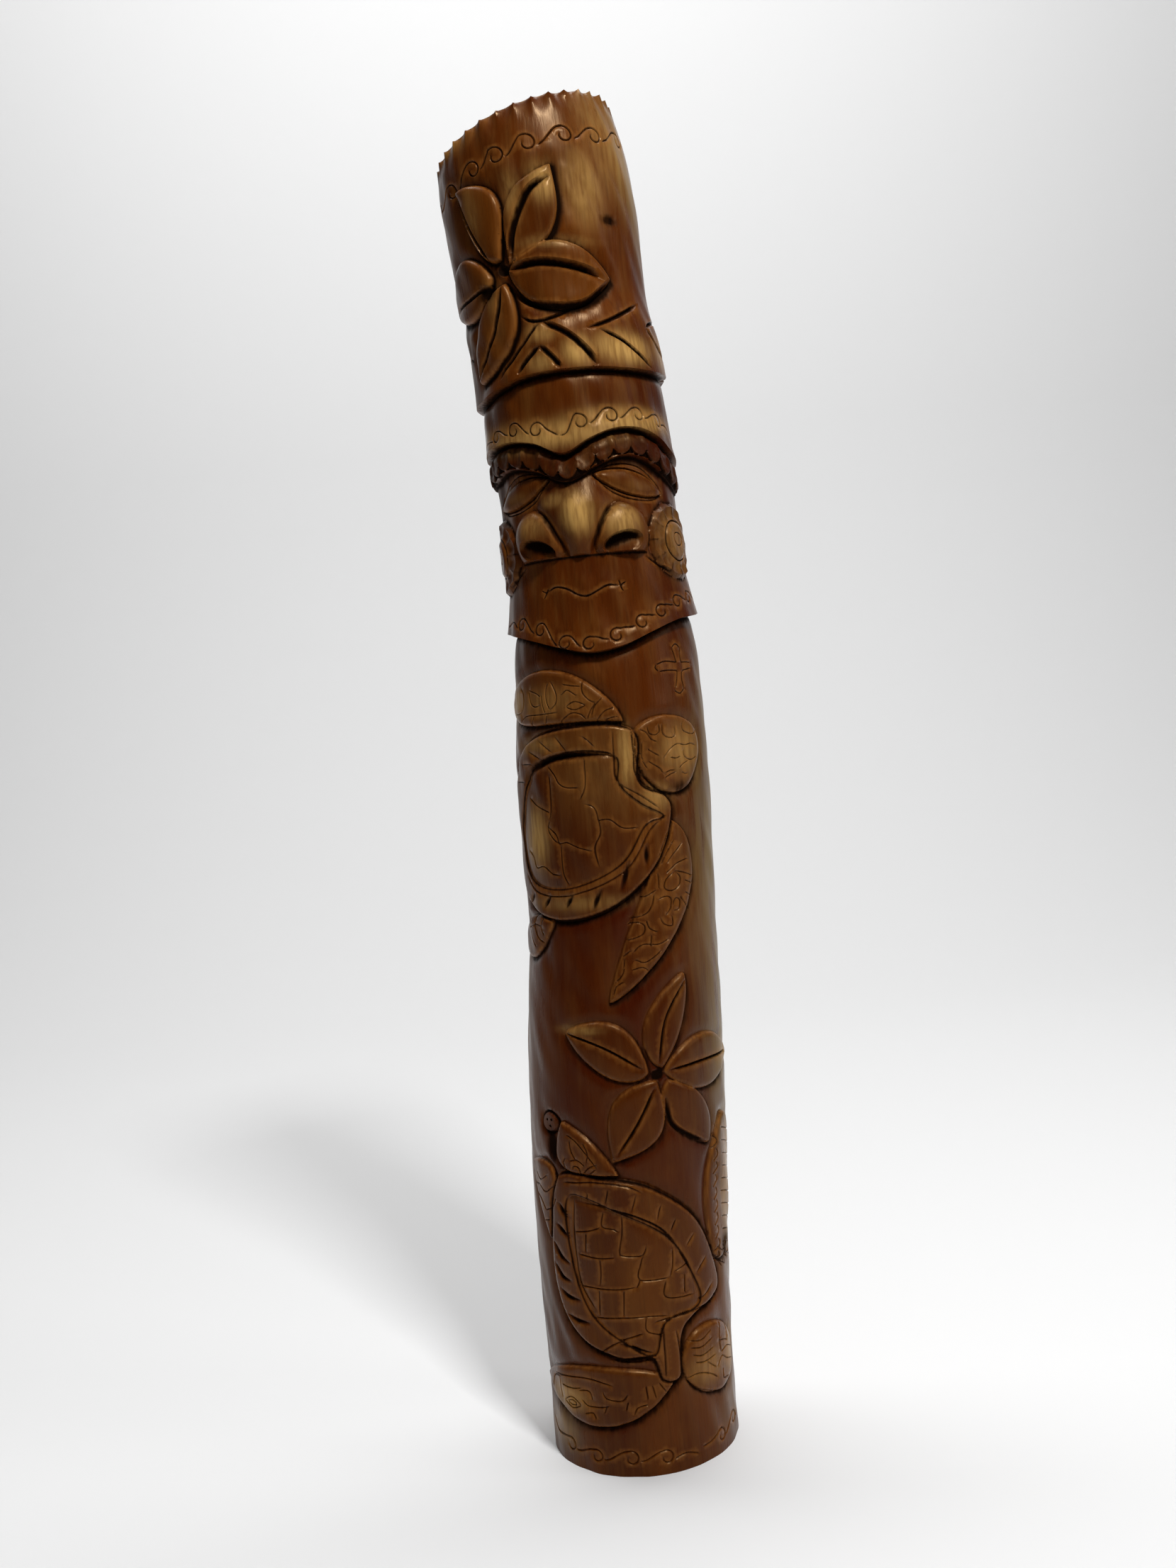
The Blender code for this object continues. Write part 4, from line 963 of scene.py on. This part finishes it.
def roughen(carving):
    """The slight unevenness that the scraper left, and the dabs of a gouge beside the large flower."""
    chance = np.random.default_rng(ROUGH_SEED)
    across, up = carving.across, carving.up
    for _ in range(ROUGH_WAVES):
        turns = chance.integers(7, 26)
        height = chance.uniform(26, 110)
        phase, lean = chance.uniform(0, 2 * np.pi, 2)
        wave = np.sin(turns * across / PATTERN_RADIUS + lean + 2 * np.pi * up / height + phase)
        carving.form += ROUGH_DEPTH * wave
    beside = ((across - DAB_PATCH[0]) / DAB_REACH[0]) ** 2
    patch = np.exp(-(beside + ((up - DAB_PATCH[1]) / DAB_REACH[1]) ** 2) ** 2)
    dabs = np.zeros(across.shape)
    for _ in range(DAB_COUNT):
        x, y = chance.uniform(8, 46), chance.uniform(818, 880)
        close = np.nonzero((np.abs(across - x) < 6) & (np.abs(up - y) < 8))[0]
        along, beside = (across[close] - x) / DAB_RADII[0], (up[close] - y) / DAB_RADII[1]
        dabs[close] = np.maximum(dabs[close], np.clip(1 - along**2 - beside**2, 0, 1))
    carving.form -= DAB_DEPTH * dabs * patch


def carve(across, up):
    """The whole carving, in pattern millimetres, at each point of the surface."""
    carving = Carving(across, up)
    carve_turtle(carving, UPPER_TURTLE_LIMBS, UPPER_SHELL, UPPER_PLATES, 2.2, UPPER_SKIN)
    lower_skin = LOWER_SKIN + tuple(side_scales())
    carve_turtle(carving, LOWER_TURTLE_LIMBS, LOWER_SHELL, LOWER_PLATES, 1.9, lower_skin)
    carve_flower(carving, SMALL_PETALS, SMALL_HEART_HOLES, SMALL_PETAL_CUTS,
                 crown_height=1.6, ground_depth=1.6, apron=8.0, stain_and_shade_strength=0.7)
    carve_flower(carving, LARGE_PETALS, LARGE_HEART_HOLES, LARGE_PETAL_CUTS,
                 crown_height=2.3, ground_depth=2.8, apron=12.0, stain_and_shade_strength=1.0)
    carve_rings(carving)
    carve_nose(carving)
    carve_eyes(carving)
    carve_ears(carving)
    for points, width, depth in BELT_CUTS:
        carving.groove(curve(points), width, depth)
    for middle in BACK_CHEVRONS:
        chevron = [(middle + side * CHEVRON_HALF, CHEVRON_FOOT) for side in (-1, 1)]
        chevron.insert(1, (middle, CHEVRON_TOP))
        carving.groove(np.array(chevron, float), width=4.0, depth=2.4)
    carve_lines(carving)
    carve_knots(carving)
    roughen(carving)
    return carving


def top_cut(across, radius):
    """Height of the slanted top cut at a place round the log and a distance from its middle."""
    angle = across / PATTERN_RADIUS
    right, front = np.sin(angle) * radius, np.cos(angle) * radius
    return TOP_CUT_HEIGHT + TOP_CUT_RISE_RIGHT * right + TOP_CUT_RISE_FRONT * front


def scallop(across):
    """One at a gouge's middle on the rim, nothing on the crests between gouges."""
    return np.abs(np.cos(across / PATTERN_RADIUS * RIM_SCALLOPS / 2))


def rim_height(across):
    """Height of the scalloped rim at each place round the log."""
    return top_cut(across, trunk_radius(np.full(1, TOP_CUT_HEIGHT))) - SCALLOP_DIP * scallop(across)


def trunk_middle(up):
    """How far the trunk's middle lies to the right of the foot's middle."""
    heights, bows, _ = np.array(TRUNK).T
    foot = smooth_through(heights, bows, np.full(1, PATTERN_START))[0]
    return smooth_through(heights, bows, up) - foot


def trunk_radius(up):
    heights, _, radii = np.array(TRUNK).T
    return smooth_through(heights, radii, up)


def place(across, up, radius):
    """Points of the log in metres, from places on the unrolled surface and distances from its middle."""
    angle = across / PATTERN_RADIUS
    x = trunk_middle(up) + radius * np.sin(angle)
    return np.stack([x, -radius * np.cos(angle), up - PATTERN_START], axis=-1) * MM


def to_level(across, up):
    """Heights with the top band stretched, so that the scalloped rim becomes a level line."""
    stretch = (BAND_HIGH - BAND_LOW) / (rim_height(across) - BAND_LOW)
    return np.where(up > BAND_LOW, BAND_LOW + (up - BAND_LOW) * stretch, up)


def thinned(points, gap):
    """The points without those that share a small cell with an earlier one."""
    for shift in (0.0, gap / 2):
        cells = np.floor((points + shift) / gap).astype(int)
        _, first = np.unique(cells, axis=0, return_index=True)
        points = points[np.sort(first)]
    return points


def hexagonal(left, right, low, high, step):
    """Points in even rows, every second row moved by half a step."""
    rows = np.arange(low, high, step * 0.866)
    columns = np.arange(left, right, step)
    across = columns[None] + (np.arange(len(rows)) % 2)[:, None] * step / 2
    up = np.broadcast_to(rows[:, None], across.shape)
    return np.stack([across.ravel(), up.ravel()], axis=1)


def filling():
    """Evenly spread points between the carved lines, closer together where the carving is finer."""
    half = AROUND / 2
    front = hexagonal(-half, half, PATTERN_START, BAND_HIGH + 30, FRONT_STEP)
    back = hexagonal(-half, half, PATTERN_START, BAND_HIGH + 30, BACK_STEP)
    face = hexagonal(FACE_LEFT, FACE_RIGHT, FACE_LOW, FACE_HIGH, FACE_STEP)
    on_face = (front[:, 0] > FACE_LEFT) & (front[:, 0] < FACE_RIGHT)
    on_face &= (front[:, 1] > FACE_LOW) & (front[:, 1] < FACE_HIGH)
    front = front[(np.abs(front[:, 0]) < FRONT_REACH) & ~on_face]
    return np.vstack([front, face, back[np.abs(back[:, 0]) >= FRONT_REACH]])


def clear_of(points, laid, clearance):
    """The points whose own small cell and the ones round it hold none of the laid points."""
    def numbered(cells):
        return cells[:, 0] * cells_in_row + cells[:, 1]
    cells_in_row = 100000
    taken = np.floor(laid / clearance).astype(int)
    taken = np.unique(np.concatenate([numbered(taken + (i, j)) for i in (-1, 0, 1) for j in (-1, 0, 1)]))
    return points[~np.isin(numbered(np.floor(points / clearance).astype(int)), taken)]


def surface_points():
    """Places of all points of the carved side, how many lie on the rim and the foot, and the back seam's.

    The rim comes first, then the foot, then the seam down the middle of the back, and last a second copy
    of the seam, at the pattern's other edge.
    """
    half = AROUND / 2
    rim_across = np.linspace(-half, half, RIM_POINTS + 1)[:-1]
    rim = np.stack([rim_across, rim_height(rim_across)], axis=1)
    foot_across = np.linspace(-half, half, FOOT_POINTS + 1)[:-1]
    foot = np.stack([foot_across, np.full(len(foot_across), PATTERN_START)], axis=1)
    seam_up = np.arange(PATTERN_START + SEAM_STEP, rim[0, 1] - SEAM_STEP / 2, SEAM_STEP)
    seam = np.stack([np.full(len(seam_up), -half), seam_up], axis=1)

    carved = [shifted(evenly(path, LINE_STEP), gap)
              for path, beside in carve(np.empty(0), np.empty(0)).lines for gap in beside]
    flutes = [rim - (0, drop) for drop in FLUTE_LINES]
    laid = thinned(np.vstack(flutes + carved), CLOSEST)
    points = np.vstack([laid, clear_of(filling(), laid, CLEARANCE)])
    inner = (np.abs(points[:, 0]) < half - 1) & (points[:, 1] > PATTERN_START + 1)
    inner &= points[:, 1] < rim_height(points[:, 0]) - 1
    ends = np.vstack([rim[:1], foot[:1], seam]) + (AROUND, 0)
    return np.vstack([rim, foot, seam, points[inner], ends]), len(rim), len(foot), len(seam)


def surface_mesh():
    """Places of the carved side's points, the triangles between them, and those on the rim and the foot."""
    points, rim_count, foot_count, seam_count = surface_points()
    flat = np.stack([points[:, 0], to_level(points[:, 0], points[:, 1])], axis=1)
    triangles = np.array(delaunay_2d_cdt(flat.tolist(), [], [], 0, 1e-6, False)[2])
    kept = len(points) - seam_count - 2
    partner = np.arange(len(points))
    foot_start = rim_count
    seam_start = rim_count + foot_count
    partner[kept:kept + 2] = (0, foot_start)
    partner[kept + 2:] = np.arange(seam_start, seam_start + seam_count)
    return points[:kept], partner[triangles], np.arange(rim_count), np.arange(foot_start, seam_start)


def build_mesh():
    """The log's mesh, with where the wood is rubbed, darkened by stain and painted shade, red, pale, worn or
    given a painted highlight, a figure or end grain.
    """
    points, triangles, rim, foot = surface_mesh()
    across, up = points.T
    carving = carve(across, up)
    flutes = SCALLOP_DEPTH * scallop(across) * falloff(rim_height(across) - up, SCALLOP_LENGTH)
    radius = trunk_radius(up) + carving.form + carving.ground - carving.cut - flutes
    side = place(across, up, radius)

    rings = [place(across[rim], top_cut(across[rim], radius[rim] * share), radius[rim] * share)
             for share in CAP_RINGS]
    places = np.vstack([side, *rings, rings[-1].mean(axis=0, keepdims=True)])
    corner = np.vstack([rim[None], len(side) + np.arange(len(rings) * len(rim)).reshape(-1, len(rim))])
    right = np.roll(corner, -1, axis=1)
    quads = np.stack([corner[:-1], right[:-1], right[1:], corner[1:]], axis=-1).reshape(-1, 4)
    fan = [(a, b, len(places) - 1) for a, b in zip(corner[-1].tolist(), right[-1].tolist())]
    faces = triangles.tolist() + quads.tolist() + fan + [foot[::-1].tolist()]

    mesh = bpy.data.meshes.new("carved_log_finish")
    mesh.from_pydata(places.tolist(), [], faces)
    relief = carving.form - carving.cut
    cap = len(places) - len(side)
    # Painted highlight on the flutes of the rim, on the left only.
    flute_highlight = FLUTE_HIGHLIGHT_STRENGTH * scallop(across) * falloff(rim_height(across) - up, FLUTE_HIGHLIGHT_LENGTH)
    flute_highlight *= smooth_step(-across, 0, 40)
    layers = {
        "rubbed": spots(across, up, RUBBED_SPOTS) * smooth_step(relief, -2.5, 0.5),
        # Dark stain and painted shade, with the dark spots.
        "dark_stain_and_shade": np.maximum(carving.dark_stain_and_shade, spots(across, up, DARK_SPOTS)),
        "red": spots(across, up, RED_SPOTS) * (1 - 0.55 * carving.motif),
        "pale": spots(across, up, PALE_SPOTS),
        # Wear with painted highlights on edges, and the painted highlight on the flutes.
        "wear_and_highlight": np.maximum(carving.wear_and_highlight, flute_highlight) * (1 - carving.dark_stain_and_shade),
        "figure": carving.motif,
        "end_grain": np.zeros(len(side)),
    }
    for name, values in layers.items():
        ends = np.full(cap, 1.0 if name == "end_grain" else 0.0)
        layer = mesh.attributes.new(name, "FLOAT", "POINT")
        layer.data.foreach_set("value", np.clip(np.concatenate([values, ends]), 0, 1).astype(np.float32))
    return mesh


def spots(across, up, places):
    """The strongest of the soft spots at each point."""
    strength = np.zeros(across.shape)
    for x, y, wide, high, full in places:
        away = ((across - x) / wide) ** 2 + ((up - y) / high) ** 2
        strength = np.maximum(strength, full * np.exp(-away**1.4))
    return strength


class Nodes:
    """Short ways to add nodes to one material."""

    def __init__(self, material):
        self.tree = material.node_tree

    def give(self, socket, value):
        """Sets a socket to a plain value, or links it to the output of another node."""
        if isinstance(value, bpy.types.NodeSocket):
            self.tree.links.new(value, socket)
        else:
            socket.default_value = value

    def add(self, kind, inputs, **settings):
        node = self.tree.nodes.new(kind)
        for name, value in settings.items():
            setattr(node, name, value)
        for name, value in inputs.items():
            self.give(node.inputs[name], value)
        return node

    def attribute(self, name):
        return self.add("ShaderNodeAttribute", {}, attribute_name=name).outputs["Fac"]

    def stretched(self, scale):
        """Object coordinates, stretched so that noise read there runs in long marks up the log."""
        place = self.add("ShaderNodeTexCoord", {}).outputs["Object"]
        return self.add("ShaderNodeMapping", {"Vector": place, "Scale": scale}).outputs["Vector"]

    def noise(self, scale, size, detail=3.0, roughness=0.55):
        inputs = {"Vector": self.stretched(scale), "Scale": size, "Detail": detail, "Roughness": roughness}
        return self.add("ShaderNodeTexNoise", inputs).outputs["Fac"]

    def spread(self, value, low, high, to_low=0.0, to_high=1.0):
        """A value between low and high, eased onto another range."""
        inputs = {"Value": value, "From Min": low, "From Max": high, "To Min": to_low, "To Max": to_high}
        return self.add("ShaderNodeMapRange", inputs, interpolation_type="SMOOTHSTEP").outputs["Result"]

    def math(self, operation, first, second):
        return self.add("ShaderNodeMath", {0: first, 1: second}, operation=operation).outputs["Value"]

    def mix(self, share, under, over):
        """Colour over another by a share, each a colour or the output of a node."""
        return self.add("ShaderNodeMix", {0: share, 6: under, 7: over}, data_type="RGBA").outputs[2]


# The wood's colours, as linear red, green, blue and alpha.
DARK_BROWN, LIGHT_BROWN = (0.042, 0.0060, 0.0005, 1), (0.100, 0.0238, 0.0022, 1)
STREAK, FIBRE = (0.140, 0.055, 0.010, 1), (0.030, 0.007, 0.001, 1)
FIGURE_BROWN = (0.092, 0.0275, 0.0028, 1)
DEEP_RED = (0.044, 0.0036, 0.0004, 1)
SAPWOOD = (0.175, 0.112, 0.038, 1)
GOLD = (0.450, 0.255, 0.072, 1)
# Orange of wear, and of painted highlights on edges and on the flutes.
WEAR_AND_HIGHLIGHT_ORANGE = (0.260, 0.096, 0.018, 1)
# Near black of dark stain and painted shade.
NEAR_BLACK = (0.006, 0.0022, 0.001, 1)
END_DARK, END_LIGHT, END_STAIN = (0.110, 0.042, 0.010, 1), (0.200, 0.092, 0.026, 1), (0.080, 0.026, 0.006, 1)
# The varnish has turned yellow, so it reflects the light warmly.
VARNISH = (1.0, 0.66, 0.34, 1)


def stained_wood():
    """Red-brown stain over long grain, rubbed to gold on the high places, worn with painted highlights on
    edges, and dark with stain and painted shade in the cuts.
    """
    material = bpy.data.materials.new("stained_wood")
    material.use_nodes = True
    nodes = Nodes(material)
    shader = material.node_tree.nodes["Principled BSDF"]

    clouds = nodes.noise((1, 1, 0.45), 14.0, detail=4.0, roughness=0.6)
    streaks = nodes.noise((1, 1, 0.07), 150.0, detail=5.0, roughness=0.62)
    fibres = nodes.noise((1, 1, 0.05), 620.0, detail=2.0)
    flecks = nodes.noise((1, 1, 0.12), 380.0, detail=2.0, roughness=0.5)

    brown = nodes.mix(nodes.spread(clouds, 0.34, 0.68), DARK_BROWN, LIGHT_BROWN)
    brown = nodes.mix(nodes.spread(streaks, 0.42, 0.75, 0.0, 0.4), brown, STREAK)
    brown = nodes.mix(nodes.spread(fibres, 0.30, 0.48, 0.3, 0.0), brown, FIBRE)

    colour = brown
    for name, share, over in (
        ("figure", nodes.spread(clouds, 0.25, 0.6, 0.05, 0.35), FIGURE_BROWN),
        ("red", nodes.spread(clouds, 0.62, 0.36, 0.45, 1.0), DEEP_RED),
        ("pale", nodes.spread(streaks, 0.35, 0.6, 0.35, 1.0), SAPWOOD),
        ("rubbed", nodes.spread(flecks, 0.32, 0.62, 0.55, 1.0), GOLD),
        # Wear and painted highlights on edges, and the painted highlight on the flutes on the left.
        ("wear_and_highlight", nodes.spread(flecks, 0.3, 0.65, 0.25, 0.75), WEAR_AND_HIGHLIGHT_ORANGE),
    ):
        colour = nodes.mix(nodes.math("MULTIPLY", nodes.attribute(name), share), colour, over)

    # Dark stain and painted shade, broken up a little by flecks.
    edge = nodes.math("SUBTRACT", nodes.attribute("dark_stain_and_shade"), nodes.spread(flecks, 0.3, 0.7, 0.0, 0.2))
    dark_stain_and_shade = nodes.spread(edge, 0.0, 0.8)
    colour = nodes.mix(dark_stain_and_shade, colour, NEAR_BLACK)

    wave = {"Vector": nodes.stretched((1, 1, 0.2)), "Scale": 62.0, "Distortion": 2.2, "Detail": 2.0}
    rings = nodes.add("ShaderNodeTexWave", wave, wave_type="RINGS", rings_direction="Z")
    end = nodes.mix(rings.outputs["Fac"], END_DARK, END_LIGHT)
    end = nodes.mix(nodes.spread(clouds, 0.3, 0.7, 0.0, 0.4), end, END_STAIN)
    colour = nodes.mix(nodes.attribute("end_grain"), colour, end)
    nodes.give(shader.inputs["Base Color"], colour)

    sheen = nodes.spread(streaks, 0.3, 0.7, 0.25, 0.40)
    sheen = nodes.math("ADD", sheen, nodes.spread(dark_stain_and_shade, 0.0, 1.0, 0.0, 0.3))
    nodes.give(shader.inputs["Roughness"], sheen)
    nodes.give(shader.inputs["Specular IOR Level"], nodes.spread(dark_stain_and_shade, 0.0, 1.0, 0.21, 0.02))
    nodes.give(shader.inputs["Specular Tint"], VARNISH)

    pores = nodes.spread(fibres, 0.2, 0.8, 0.0, 0.5)
    grain = nodes.math("ADD", nodes.spread(streaks, 0.2, 0.8, 0.0, 0.7), pores)
    relief = nodes.add("ShaderNodeBump", {"Strength": 0.18, "Distance": 0.0005, "Height": grain})
    nodes.give(shader.inputs["Normal"], relief.outputs["Normal"])
    return material


def placed(name, data):
    """A new object of the scene that shows the data."""
    item = bpy.data.objects.new(name, data)
    bpy.context.scene.collection.objects.link(item)
    return item


def build_log():
    log = placed("carved_log_finish", build_mesh())
    log.data.materials.append(stained_wood())
    log.data.shade_smooth()
    log.data.set_sharp_from_angle(angle=SHARP_ANGLE)
    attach(log, "root")
    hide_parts(NODE)


def studio_floor():
    """A pale floor that curves up into a wall behind."""
    bend, front, back, top, half = 1.2, -6.0, 2.6, 6.0, 9.0
    profile = [(front, 0.0), (back - bend, 0.0)]
    steps = 12
    for step in range(1, steps + 1):
        angle = step / steps * math.pi / 2
        profile.append((back - bend + bend * math.sin(angle), bend - bend * math.cos(angle)))
    profile.append((back, top))
    places = [(side, y, z) for y, z in profile for side in (-half, half)]
    faces = [(i, i + 1, i + 3, i + 2) for i in range(0, len(places) - 2, 2)]
    mesh = bpy.data.meshes.new("studio_floor")
    mesh.from_pydata(places, [], faces)
    ground = placed("studio_floor", mesh)
    mesh.shade_smooth()
    material = bpy.data.materials.new("pale_floor")
    material.use_nodes = True
    shader = material.node_tree.nodes["Principled BSDF"]
    shader.inputs["Base Color"].default_value = (0.85, 0.85, 0.85, 1)
    shader.inputs["Roughness"].default_value = 0.9
    mesh.materials.append(material)


def area_light(name, place, aim, size, power):
    data = bpy.data.lights.new(name, "AREA")
    data.shape = "RECTANGLE"
    data.size, data.size_y = size
    data.energy = power
    light = placed(name, data)
    light.location = place
    light.rotation_euler = (Vector(aim) - Vector(place)).to_track_quat("-Z", "Y").to_euler()


def light_studio():
    area_light("key", (0.45, -0.95, 1.8), (0, 0, 0.6), (0.24, 0.24), 24)
    area_light("side", (1.6, -0.5, 1.0), (0, 0, 0.5), (0.4, 1.4), 3.5)
    area_light("wall", (0, 0.6, 3.6), (0, 2.2, 0.6), (3.0, 1.0), 85)
    world = bpy.data.worlds.new("studio")
    bpy.context.scene.world = world
    world.use_nodes = True
    sky = world.node_tree.nodes["Background"]
    sky.inputs["Color"].default_value = (1, 1, 1, 1)
    sky.inputs["Strength"].default_value = 0.05


# The photograph's view: the camera stands about a metre off, level with the log's middle, looks a little
# down and is rolled, which makes the upright log lean as it does there.
PHOTO_WIDTH, PHOTO_HEIGHT = 1659, 2212
FOCAL_PIXELS = 2039.0
SENSOR = 36.0
CAMERA_PLACE = (-0.0015, -1.01073, 0.5025)
CAMERA_PITCH = math.radians(2.3)
CAMERA_ROLL = math.radians(5.0)


def photo_camera():
    data = bpy.data.cameras.new("photo_camera")
    data.sensor_width = SENSOR
    data.lens = SENSOR * FOCAL_PIXELS / max(PHOTO_WIDTH, PHOTO_HEIGHT)
    data.clip_start = 0.02
    camera = placed("photo_camera", data)
    ahead = Vector((0, math.cos(CAMERA_PITCH), -math.sin(CAMERA_PITCH)))
    above = Vector((0, math.sin(CAMERA_PITCH), math.cos(CAMERA_PITCH)))
    right = Vector((1, 0, 0))
    cos, sin = math.cos(CAMERA_ROLL), math.sin(CAMERA_ROLL)
    axes = (cos * right - sin * above, sin * right + cos * above, -ahead)
    camera.matrix_world = Matrix.Translation(CAMERA_PLACE) @ Matrix(axes).transposed().to_4x4()
    bpy.context.scene.camera = camera
    bpy.context.scene.view_settings.view_transform = "Standard"


photo_camera()
light_studio()
studio_floor()
build_log()
